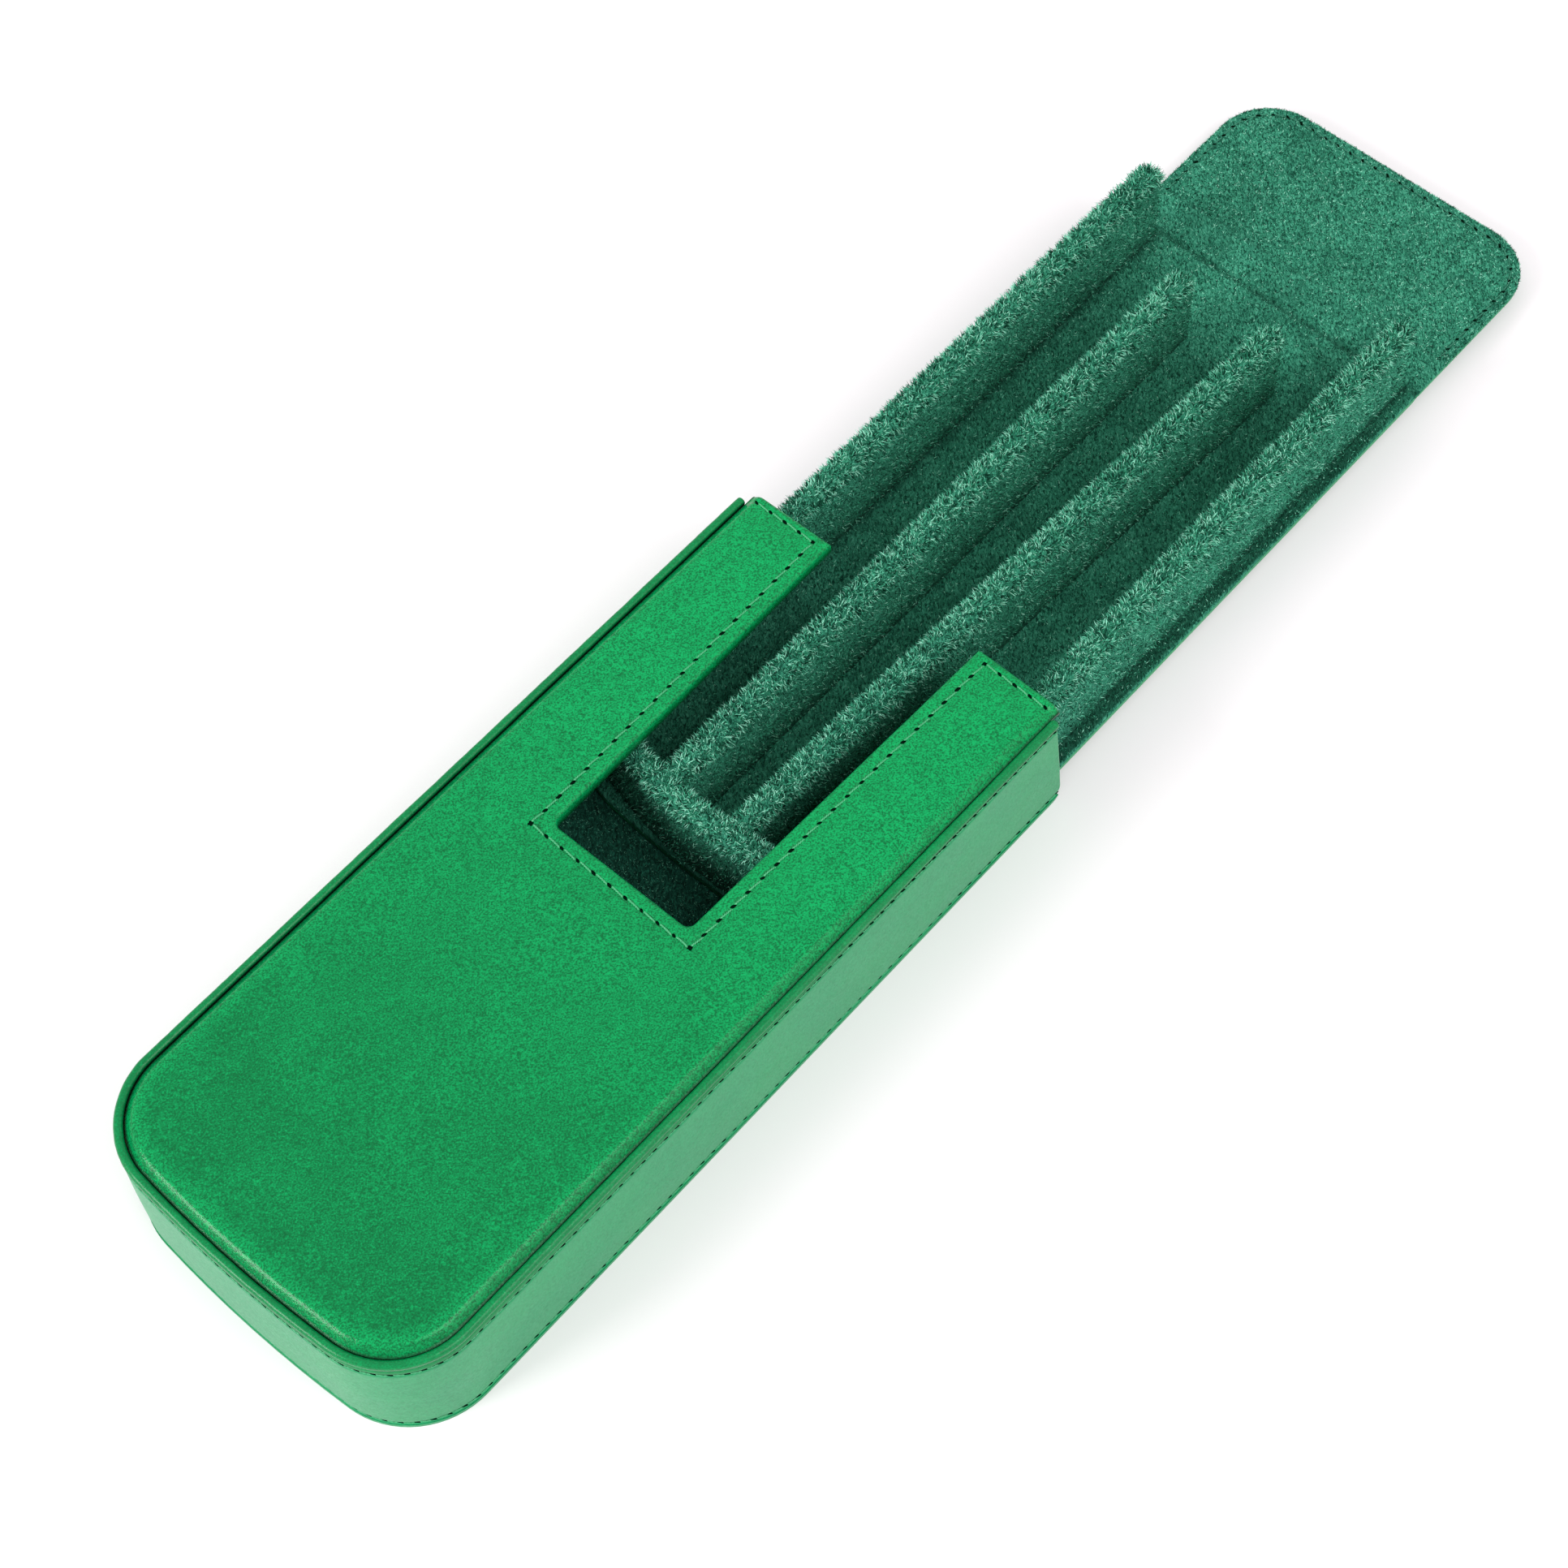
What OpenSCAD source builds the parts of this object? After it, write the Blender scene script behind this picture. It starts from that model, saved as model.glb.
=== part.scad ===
// Three-pen case: a hard leather-covered sleeve with a cut-away top, and a
// suede-covered tray that slides out of it and ends in a fold-over flap.
// X runs along the case towards the mouth and the flap, Z is up, and the
// origin is the middle of the sleeve's underside. All sizes are in millimetres.
// The tray is drawn part of the way out and its flap lies flat.

/* [Sleeve] */
// Length of the sleeve from the bow of its closed end to its mouth
sleeve_len = 160; // [150:1:175]
// Width of the sleeve across its side walls
sleeve_w = 71.6; // [70:0.2:76]
// Clear height inside the sleeve
inside_h = 22.5; // [22:0.1:26]
// Radius of the two rounded corners at the closed end, seen from above
corner_r = 16.2; // [12:0.1:20]
// Radius of the slight bow across the closed end
end_arc_r = 250; // [180:10:600]

/* [Sleeve layers] */
// Thickness of the cover leather
leather_t = 0.8; // [0.6:0.1:1]
// Thickness of the board in the side walls
side_board_t = 0.9; // [0.8:0.1:1.6]
// Thickness of the lining in the side walls
side_lining_t = 0.4; // [0.3:0.1:0.8]
// Thickness of the board in the bottom
bottom_board_t = 0.7; // [0.5:0.1:1]
// Thickness of the lining on the bottom and under the top
flat_lining_t = 0.4; // [0.3:0.1:0.5]
// Thickness of the board in the top
top_board_t = 0.6; // [0.4:0.1:0.8]

/* [Padded top] */
// Radius of the shoulder that the padded top turns down over at its edge
shoulder_r = 2; // [1.4:0.1:2.4]
// Height of the crown above the shoulder
crown_h = 0.4; // [0.2:0.1:1]
// Width over which the crown rises from the edge
crown_w = 30; // [20:1:32]
// Gap between the outside of the case and the padded top, filled by the piping
groove_inset = 1.8; // [1.8:0.1:2.1]

/* [Notch] */
// Length of the cut-away in the top, from the mouth
notch_len = 71; // [50:1:90]
// Width of the cut-away at its inner end
notch_w_inner = 30; // [24:1:34]
// Width of the cut-away at the mouth
notch_w_mouth = 33; // [26:1:36]
// Radius of the inner corners of the cut-away
notch_r = 1.5; // [1:0.25:4]
// How far the side wall's mouth edge slants back from its foot to its top
mouth_slant = 2.3; // [1:0.1:4]
// Radius of the mouth's lower corner, seen from the side
mouth_corner_r = 3; // [2:0.5:4]

/* [Piping] */
// Diameter of the piping round the top edge
piping_d = 1.7; // [1.4:0.1:1.7]
// Diameter of the cord inside the piping
piping_cord_d = 0.9; // [0.6:0.1:1]

/* [Tray] */
// Length of the tray from its inner end to the crease of the flap
tray_len = 161; // [150:1:162]
// How far the tray is drawn out of the sleeve
tray_out = 103.1; // [60:0.1:120]
// Height of the tray's side walls above its floor
wall_h = 17.95; // [15:0.05:18]
// Thickness of the tray's covered walls
wall_t = 4.2; // [3.4:0.1:5]
// Thickness of the suede over the walls and dividers
wall_suede_t = 0.8; // [0.5:0.1:1]
// Width of the floor left outside each side wall
flange_w = 2.7; // [2:0.1:4]
// Radius of the bow across the tray's inner end wall
end_wall_arc_r = 80; // [60:5:200]
// Radius of the end wall's corners, at the middle of the wall
wall_corner_r = 9; // [7:0.5:12]

/* [Dividers] */
// Thickness of the two covered dividers
divider_t = 4.2; // [3.4:0.1:5]
// How much lower the dividers are than the side walls
divider_drop = 0.5; // [0:0.1:3]
// Distance from the far end of a divider to the crease of the flap
divider_setback = 15.8; // [5:0.1:30]
// Distance of the left divider from the tray's middle
left_divider_y = 8.9; // [7:0.1:11]
// Distance of the right divider from the tray's middle, at the end wall
right_divider_y_near = 6; // [5:0.1:11]
// Distance of the right divider from the tray's middle, at its far end
right_divider_y_far = 11.4; // [7:0.1:12]

/* [Flap] */
// Height of the part of the flap that closes the mouth
riser_len = 18.3; // [18.2:0.05:18.4]
// Length of the part of the flap that tucks in under the top
tongue_len = 22.3; // [16:0.1:26]
// Radius of the flap's two free corners
flap_corner_r = 11.5; // [6:0.5:16]
// Thickness of the leather outside the tray and the flap
flap_leather_t = 0.7; // [0.5:0.05:0.8]
// Thickness of the suede inside the tray floor and the flap
flap_suede_t = 0.5; // [0.4:0.05:0.6]
// Thickness of the board in the tray floor
floor_board_t = 0.8; // [0.6:0.05:0.9]
// Thickness of the board in the flap
flap_board_t = 0.5; // [0.4:0.05:0.6]
// Width of the sewn rim outside the flap's board
flap_rim_w = 2; // [1.5:0.1:3]

/* [Hidden] */
$fn = 96;

// The part of a cut that reaches past what it cuts
over = 1;
// Gap between the tray and the sleeve, and half the gap left at each fold
slide_gap = 0.2;
fold_gap = 0.15;

// Plan of the sleeve
half_w = sleeve_w / 2;
end_x = -sleeve_len / 2;
mouth_x = sleeve_len / 2;
wall_inset = leather_t + side_board_t + side_lining_t;

// Heights of the sleeve's layers
bottom_board_z = leather_t;
bottom_lining_z = bottom_board_z + bottom_board_t;
inside_z = bottom_lining_z + flat_lining_t;
ceiling_z = inside_z + inside_h;
top_board_z = ceiling_z + flat_lining_t;
padding_z = top_board_z + top_board_t;
top_edge_z = top_board_z + 0.2;
piping_r = piping_d / 2;
piping_z = ceiling_z + 0.9;

// The slices that loft the padded top, and the small gap round its board
shoulder_steps = 6;
crown_steps = 5;
slice_t = 0.01;
loft_bow_fn = 288;
board_gap = 0.15;

// The tray
tray_inset = wall_inset + slide_gap;
crease_x = end_x + tray_inset + tray_len + tray_out;
tray_end_x = crease_x - tray_len;
tray_half_w = half_w - tray_inset;
tray_z = inside_z + 0.25;
floor_board_z = tray_z + flap_leather_t;
floor_suede_z = floor_board_z + floor_board_t;
floor_z = floor_suede_z + flap_suede_t;
wall_end_x = crease_x - 0.3;
wall_ridge_half_w = tray_half_w - flange_w - wall_t / 2;
wall_ridge_end_x = tray_end_x + 0.5 + wall_t / 2;
ridge_end_r = 3;
divider_end_x = crease_x - divider_setback;

// The flap
flap_t = flap_leather_t + flap_board_t + flap_suede_t;
flap_z = floor_z - flap_t;
fold_x = crease_x + riser_len;
tip_x = fold_x + tongue_len;

// Faces along the arcs of a swept path, and round the swept profiles
corner_steps = 12;
bow_steps = 6;
ridge_steps = 8;
bead_steps = 12;
cord_sides = 8;
piping_foot = 0.7;

// Height of the padded top at a distance d in from its edge: a quarter-round shoulder of
// radius r, and a parabolic crown over it
function padded_rise(d, r) =
    sqrt(r * r - pow(r - min(d, r), 2)) + crown_h * (1 - pow(1 - min(d, crown_w) / crown_w, 2));

// The distances at which the loft is sliced: closer together round the shoulder
function padded_insets(r) = concat(
    [for (i = [0:shoulder_steps]) r * (1 - cos(i * 90 / shoulder_steps))],
    [for (i = [1:crown_steps]) r + i * (crown_w - r) / crown_steps]
);

// Where a U-shaped plan's corner and end arcs have their centres
function end_angle(hw, r, arc_r) = asin((hw - r) / (arc_r - r));
function corner_x(hw, r, arc_r, x_end) = x_end + arc_r - (arc_r - r) * cos(end_angle(hw, r, arc_r));

// A plan with straight sides, rounded corners and a bowed end at x_end, cut off at x_to;
// bow_fn is the number of faces of the bow's whole circle
module u_area(hw, r, arc_r, x_end, x_to, bow_fn = $fn) {
    cx = corner_x(hw, r, arc_r, x_end);
    cy = hw - r;
    reach = (arc_r + over) * tan(end_angle(hw, r, arc_r));
    translate([cx, -hw]) square([x_to - cx, 2 * hw]);
    for (side = [-1, 1]) translate([cx, side * cy]) circle(r);
    intersection() {
        translate([x_end + arc_r, 0]) circle(arc_r, $fn = bow_fn);
        polygon([[cx, -cy], [cx, cy], [x_end - over, reach], [x_end - over, -reach]]);
    }
}

// The same plan's edge as points from the mouth, round the closed end and back: x, y and
// the direction that faces out of the plan there
function u_path(hw, r, arc_r, x_end, x_to) =
    let (a = end_angle(hw, r, arc_r), cx = corner_x(hw, r, arc_r, x_end), bow_x = x_end + arc_r)
    concat(
        [[x_to, hw, 90]],
        [for (i = [0:corner_steps]) let (t = 90 + i * (90 - a) / corner_steps)
            [cx + r * cos(t), hw - r + r * sin(t), t]],
        [for (i = [1:bow_steps - 1]) let (t = 180 - a + i * 2 * a / bow_steps)
            [bow_x + arc_r * cos(t), arc_r * sin(t), t]],
        [for (i = [0:corner_steps]) let (t = 180 + a + i * (90 - a) / corner_steps)
            [cx + r * cos(t), r - hw + r * sin(t), t]],
        [[x_to, -hw, 270]]
    );

// A closed profile carried along a path: its x points outwards, its y upwards
module sweep(path, profile) {
    n = len(profile);
    rings = len(path);
    points = [for (p = path) for (q = profile) [p.x + q.x * cos(p.z), p.y + q.x * sin(p.z), q.y]];
    sides = [for (i = [0:rings - 2]) for (j = [0:n - 1]) let (k = (j + 1) % n)
        [i * n + j, i * n + k, (i + 1) * n + k, (i + 1) * n + j]];
    first = [for (j = [n - 1:-1:0]) j];
    last = [for (j = [0:n - 1]) (rings - 1) * n + j];
    polyhedron(points, concat(sides, [first, last]), convexity = 6);
}

// The sleeve's plan, moved in from the outside by an inset
module sleeve_area(inset, x_to, bow_fn = $fn) {
    u_area(half_w - inset, max(corner_r - inset, 0.6), end_arc_r - inset, end_x + inset, x_to, bow_fn);
}

// The sleeve in side view, moved in from the outside by an inset: the mouth's lower corner
// is round, and the edge above it slants back
module side_view(inset) {
    r = mouth_corner_r;
    x1 = mouth_x - inset;
    x_top = x1 - mouth_slant;
    translate([0, half_w + over, 0]) rotate([90, 0, 0]) linear_extrude(2 * (half_w + over))
        difference() {
            polygon([[end_x - over, inset], [x1, inset], [x1, r], [x_top, ceiling_z],
                [x_top, ceiling_z + over], [end_x - over, ceiling_z + over]]);
            difference() {
                translate([mouth_x - r, inset - over]) square([r - inset + over, r - inset + over]);
                translate([mouth_x - r, r]) circle(r - inset);
            }
        }
}

// One layer of the sleeve's side wall, between two insets and two heights
module side_layer(outer, inner, z0, z1, x_to) {
    translate([0, 0, z0]) linear_extrude(z1 - z0) difference() {
        sleeve_area(outer, x_to);
        sleeve_area(inner, x_to + over);
    }
}

// The cut-away in the top, widened all round by grow
module notch_area(grow) {
    x0 = mouth_x - notch_len - grow;
    r = notch_r + grow;
    inner = notch_w_inner / 2 + grow;
    outer = notch_w_mouth / 2 + grow;
    translate([x0, -(inner - r)]) square([r + over, 2 * (inner - r)]);
    for (side = [-1, 1]) translate([x0 + r, side * (inner - r)]) circle(r);
    polygon([[x0 + r, -inner], [x0 + r, inner], [mouth_x + over, outer], [mouth_x + over, -outer]]);
}

module notch_cut(grow) {
    translate([0, 0, ceiling_z - over]) linear_extrude(10) notch_area(grow);
}

// The crowned form of the top, lofted through slices of the plan; skin is how far it lies
// inside the leather's outer surface
module crowned_form(skin) {
    r = shoulder_r - skin;
    inset = groove_inset + skin;
    hull() {
        translate([0, 0, top_board_z]) linear_extrude(slice_t)
            sleeve_area(inset, mouth_x - skin, loft_bow_fn);
        for (d = padded_insets(r)) translate([0, 0, top_edge_z + padded_rise(d, r) - slice_t])
            linear_extrude(slice_t) sleeve_area(inset + d, mouth_x - skin, loft_bow_fn);
    }
}

module padding_form() {
    difference() {
        crowned_form(leather_t, $fn = 64);
        notch_cut(leather_t);
    }
}

// A wall's profile: straight sides under a round ridge, standing on z0
function ridge_profile(t, z0, z1) = concat(
    [[-t / 2, z0], [t / 2, z0]],
    [for (i = [0:ridge_steps]) let (a = i * 180 / ridge_steps)
        [t / 2 * cos(a), z1 - t / 2 + t / 2 * sin(a)]]
);

// The piping's profile: a round bead on a narrower foot
function piping_profile() = concat(
    [[-piping_foot * piping_r, ceiling_z], [piping_foot * piping_r, ceiling_z]],
    [for (i = [0:bead_steps]) let (a = -acos(piping_foot) + i * (180 + 2 * acos(piping_foot)) / bead_steps)
        [piping_r * cos(a), piping_z + piping_r * sin(a)]]
);

function cord_profile() = [for (i = [0:cord_sides - 1]) let (a = i * 360 / cord_sides)
    [piping_cord_d / 2 * cos(a), piping_z + piping_cord_d / 2 * sin(a)]];

function piping_path(x_to) =
    u_path(half_w - piping_r, corner_r - piping_r, end_arc_r - piping_r, end_x + piping_r, x_to);

// Keeps what lies below a height and short of an end, with the corner between them rounded
module end_trim(x_to, z_top, r) {
    rotate([90, 0, 0]) linear_extrude(sleeve_w, center = true) {
        translate([0, 0]) square([x_to, z_top - r]);
        translate([0, 0]) square([x_to - r, z_top]);
        translate([x_to - r, z_top - r]) circle(r);
    }
}

// The line of the tray's U-shaped wall, moved in by an inset
function wall_path(inset) = u_path(wall_ridge_half_w - inset, wall_corner_r - inset,
    end_wall_arc_r - inset, wall_ridge_end_x + inset, wall_end_x);

// The tray's U-shaped wall as a solid of thickness t, whose skin is trimmed off by skin
module tray_wall(t, skin) {
    top = floor_z + wall_h - skin;
    intersection() {
        sweep(wall_path(0), ridge_profile(t, floor_z, top));
        end_trim(wall_end_x - skin, top, ridge_end_r - skin);
    }
}

// The space inside the tray's walls
module tray_inside() {
    linear_extrude(ceiling_z) polygon([for (p = wall_path(wall_t / 2)) [p.x, p.y]]);
}

// A divider from the end wall to its far end, between the two distances y_near and y_far
module divider(y_near, y_far, t, skin) {
    top = floor_z + wall_h - divider_drop - skin;
    turn = atan2(y_far - y_near, divider_end_x - wall_ridge_end_x);
    intersection() {
        translate([wall_ridge_end_x, y_near, 0]) rotate([0, 0, turn]) rotate([90, 0, 90])
            linear_extrude(tray_len) polygon(ridge_profile(t, floor_z, top));
        tray_inside();
        end_trim(divider_end_x - skin, top, ridge_end_r - skin);
    }
}

// The tray floor's plan
module tray_area(inset, x_to) {
    u_area(tray_half_w - inset, corner_r - tray_inset - inset, end_arc_r - tray_inset - inset,
        tray_end_x + inset, x_to);
}

// The plan of the part of the flap next to the tray
module riser_area(inset) {
    translate([crease_x + fold_gap, -tray_half_w + inset])
        square([riser_len - 2 * fold_gap, 2 * (tray_half_w - inset)]);
}

// The plan of the flap's free end, with its two rounded corners
module tongue_area(inset) {
    x0 = fold_x + fold_gap;
    x1 = tip_x - inset;
    r = flap_corner_r - inset;
    hw = tray_half_w - inset;
    intersection() {
        translate([x0, -hw]) square([x1 - x0, 2 * hw]);
        union() {
            translate([x0 - over, -hw]) square([x1 - r - x0 + over, 2 * hw]);
            translate([x0 - over, r - hw]) square([x1 - x0 + over, 2 * (hw - r)]);
            for (side = [-1, 1]) translate([x1 - r, side * (hw - r)]) circle(r);
        }
    }
}

// The three layers of one part of the flap: the leather has a rim round the board
module flap_leather() {
    translate([0, 0, flap_z]) difference() {
        linear_extrude(flap_leather_t + flap_board_t) children(0);
        translate([0, 0, flap_leather_t]) linear_extrude(flap_board_t + over) children(1);
    }
}

module flap_board() {
    translate([0, 0, flap_z + flap_leather_t]) linear_extrude(flap_board_t) children();
}

module flap_suede() {
    translate([0, 0, floor_z - flap_suede_t]) linear_extrude(flap_suede_t) children();
}

// ---- Sleeve ----

// Between the walls the leather is turned up at the mouth, in front of board and lining
module bottom_leather() {
    color("#129a56") intersection() {
        side_view(0);
        union() {
            linear_extrude(leather_t) sleeve_area(0, mouth_x);
            difference() {
                translate([mouth_x - mouth_corner_r, -half_w + wall_inset, 0])
                    cube([mouth_corner_r, sleeve_w - 2 * wall_inset, inside_z]);
                side_view(leather_t);
            }
        }
    }
}

module bottom_board() {
    color("#b59a70") intersection() {
        side_view(leather_t);
        translate([0, 0, bottom_board_z]) linear_extrude(bottom_board_t) sleeve_area(leather_t, mouth_x);
    }
}

module bottom_lining() {
    color("#15523f") intersection() {
        side_view(leather_t);
        translate([0, 0, bottom_lining_z]) linear_extrude(flat_lining_t) sleeve_area(wall_inset, mouth_x);
    }
}

// The leather is turned in at the mouth, in front of the wall's board and lining
module side_leather() {
    color("#2fa069") intersection() {
        side_view(0);
        difference() {
            side_layer(0, wall_inset, leather_t, ceiling_z, mouth_x);
            intersection() {
                side_view(leather_t);
                side_layer(leather_t, wall_inset + over, leather_t - over, ceiling_z + over, mouth_x);
            }
        }
    }
}

module side_board() {
    color("#b59a70") intersection() {
        side_view(leather_t);
        side_layer(leather_t, leather_t + side_board_t, bottom_lining_z, ceiling_z, mouth_x);
    }
}

module side_lining() {
    color("#1c6a50") intersection() {
        side_view(leather_t);
        side_layer(leather_t + side_board_t, wall_inset, bottom_lining_z, ceiling_z, mouth_x);
    }
}

module top_lining() {
    color("#1c6a50") difference() {
        translate([0, 0, ceiling_z]) linear_extrude(flat_lining_t)
            sleeve_area(groove_inset, mouth_x - leather_t);
        notch_cut(leather_t);
    }
}

module top_board() {
    color("#b59a70") difference() {
        translate([0, 0, top_board_z]) linear_extrude(top_board_t)
            sleeve_area(groove_inset + leather_t + board_gap, mouth_x - leather_t);
        notch_cut(leather_t);
    }
}

module top_padding() {
    color("#d9cfae") difference() {
        padding_form();
        translate([mouth_x - 2 * sleeve_len, -half_w, padding_z - 10]) cube([2 * sleeve_len, sleeve_w, 10]);
    }
}

module top_leather() {
    color("#12a05a") difference() {
        crowned_form(0, $fn = 64);
        padding_form();
        notch_cut(0);
    }
}

// The strip is turned round its cord, and its foot is sewn in between wall and top; it ends
// over the wall's slanted mouth edge
module piping_leather() {
    color("#0f8f4f") difference() {
        sweep(piping_path(mouth_x - mouth_slant), piping_profile());
        sweep(piping_path(mouth_x - mouth_slant + over), cord_profile());
    }
}

module piping_cord() {
    color("#e4dcc4") sweep(piping_path(mouth_x - mouth_slant), cord_profile());
}

// ---- Tray ----

// The leather is turned up round the edge of the board
module tray_floor_leather() {
    color("#129a56") translate([0, 0, tray_z]) difference() {
        linear_extrude(flap_leather_t + floor_board_t) tray_area(0, crease_x - fold_gap);
        translate([0, 0, flap_leather_t]) linear_extrude(floor_board_t + over)
            tray_area(flap_leather_t, crease_x - fold_gap - flap_leather_t);
    }
}

module tray_floor_board() {
    color("#b59a70") translate([0, 0, floor_board_z]) linear_extrude(floor_board_t)
        tray_area(flap_leather_t, crease_x - fold_gap - flap_leather_t);
}

module tray_floor_suede() {
    color("#2f8e6c") translate([0, 0, floor_suede_z]) linear_extrude(flap_suede_t)
        tray_area(0, crease_x - fold_gap);
}

module tray_wall_core() {
    color("#c9b48c") tray_wall(wall_t - 2 * wall_suede_t, wall_suede_t);
}

module tray_wall_suede() {
    color("#379b78") difference() {
        tray_wall(wall_t, 0);
        tray_wall_core();
    }
}

module left_divider_core() {
    color("#c9b48c") divider(left_divider_y, left_divider_y, divider_t - 2 * wall_suede_t, wall_suede_t);
}

module left_divider_suede() {
    color("#3fa583") difference() {
        divider(left_divider_y, left_divider_y, divider_t, 0);
        left_divider_core();
    }
}

module right_divider_core() {
    color("#c9b48c")
        divider(-right_divider_y_near, -right_divider_y_far, divider_t - 2 * wall_suede_t, wall_suede_t);
}

module right_divider_suede() {
    color("#3fa583") difference() {
        divider(-right_divider_y_near, -right_divider_y_far, divider_t, 0);
        right_divider_core();
    }
}

// ---- Flap ----

module flap_riser_leather() {
    color("#129a56") flap_leather() {
        riser_area(0);
        riser_area(flap_rim_w);
    }
}

module flap_riser_board() {
    color("#b59a70") flap_board() riser_area(flap_rim_w);
}

module flap_riser_suede() {
    color("#2f8e6c") flap_suede() riser_area(0);
}

module flap_tongue_leather() {
    color("#129a56") flap_leather() {
        tongue_area(0);
        tongue_area(flap_rim_w);
    }
}

module flap_tongue_board() {
    color("#b59a70") flap_board() tongue_area(flap_rim_w);
}

module flap_tongue_suede() {
    color("#2f8e6c") flap_suede() tongue_area(0);
}

bottom_leather();
bottom_board();
bottom_lining();
side_leather();
side_board();
side_lining();
top_lining();
top_board();
top_padding();
top_leather();
piping_leather();
piping_cord();
tray_floor_leather();
tray_floor_board();
tray_floor_suede();
tray_wall_core();
tray_wall_suede();
left_divider_core();
left_divider_suede();
right_divider_core();
right_divider_suede();
flap_riser_leather();
flap_riser_board();
flap_riser_suede();
flap_tongue_leather();
flap_tongue_board();
flap_tongue_suede();
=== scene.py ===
import math

import bpy
import numpy as np
from bpy.props import FloatProperty, FloatVectorProperty, PointerProperty
from mathutils import Matrix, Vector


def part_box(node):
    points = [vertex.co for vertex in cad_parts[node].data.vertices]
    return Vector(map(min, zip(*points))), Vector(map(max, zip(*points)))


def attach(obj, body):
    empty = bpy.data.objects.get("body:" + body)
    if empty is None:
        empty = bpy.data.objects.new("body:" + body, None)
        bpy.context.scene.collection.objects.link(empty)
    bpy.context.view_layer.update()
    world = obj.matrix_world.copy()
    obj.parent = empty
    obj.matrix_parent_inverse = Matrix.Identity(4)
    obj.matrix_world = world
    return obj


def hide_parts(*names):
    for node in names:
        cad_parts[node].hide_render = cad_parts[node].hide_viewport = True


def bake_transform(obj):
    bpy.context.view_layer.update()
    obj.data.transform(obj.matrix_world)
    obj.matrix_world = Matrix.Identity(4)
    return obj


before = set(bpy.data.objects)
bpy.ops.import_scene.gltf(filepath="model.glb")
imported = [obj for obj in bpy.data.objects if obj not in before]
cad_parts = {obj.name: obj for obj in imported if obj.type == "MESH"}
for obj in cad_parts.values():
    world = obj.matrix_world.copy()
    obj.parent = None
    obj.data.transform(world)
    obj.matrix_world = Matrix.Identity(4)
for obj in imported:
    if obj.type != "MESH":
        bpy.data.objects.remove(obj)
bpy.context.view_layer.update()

bl_info = {
    "name": "Three-pen case",
    "version": (1, 0, 0),
    "blender": (4, 5, 0),
    "location": "View3D > Sidebar > Pen case",
    "description": "Leather, suede and stitching of a sliding three-pen case",
    "category": "Add Mesh",
}

MM = 0.001

# Places that the frame fixes, in metres
WALL_LOW, WALL_HIGH = (np.array(c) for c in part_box("side_leather"))
TOP_LOW, TOP_HIGH = (np.array(c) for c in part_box("top_leather"))
FLOOR_LOW, FLOOR_HIGH = (np.array(c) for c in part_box("tray_floor_suede"))
RIDGE_LOW, RIDGE_HIGH = (np.array(c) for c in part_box("tray_wall_suede"))
RISER_LOW = np.array(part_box("flap_riser_leather")[0])
TONGUE_LOW, TONGUE_HIGH = (np.array(c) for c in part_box("flap_tongue_leather"))
MOUTH_X = WALL_HIGH[0]
CLOSED_X = WALL_LOW[0]
HALF_W = WALL_HIGH[1]
CREASE_X = RISER_LOW[0] - 0.15 * MM
FOLD_X = TONGUE_LOW[0] - 0.15 * MM
TIP_X = TONGUE_HIGH[0]
SPLIT_X = (CREASE_X + FOLD_X) / 2
TRAY_TOP = FLOOR_HIGH[2]
TRAY_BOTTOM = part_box("tray_floor_leather")[0][2]
FLAP_BOTTOM = RISER_LOW[2]

# A plan is a half width, a corner radius, a bow radius and the X of its bowed end
TRAY_PLAN = FLOOR_HIGH[1], 13.9 * MM, 247.7 * MM, FLOOR_LOW[0]
# A fold is the bodies that a piece crosses it between, and its X
TRAY_FOLD = "tray", "flap_riser", CREASE_X
FLAP_FOLD = "flap_riser", "flap_tongue", FOLD_X

# Short names for two NumPy calls
join, columns = np.concatenate, np.column_stack


def linear(code):
    """The linear value of an sRGB hex colour, by the sRGB transfer curve."""
    c = np.array([int(code[i : i + 2], 16) for i in (1, 3, 5)]) / 255
    return tuple(np.where(c <= 0.04045, c / 12.92, ((c + 0.055) / 1.055) ** 2.4))


def number(name, description, default, kind="NONE"):
    return FloatProperty(name=name, description=description, default=default, unit=kind)


def length(name, description, default):
    """A length, given in millimetres."""
    return number(name, description, default * MM, "LENGTH")


def turn_by(name, description, default):
    """An angle, given in degrees."""
    return number(name, description, math.radians(default), "ROTATION")


def colour(name, description, code):
    return FloatVectorProperty(
        name=name, description=description, default=linear(code), subtype="COLOR", min=0, max=1
    )


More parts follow.
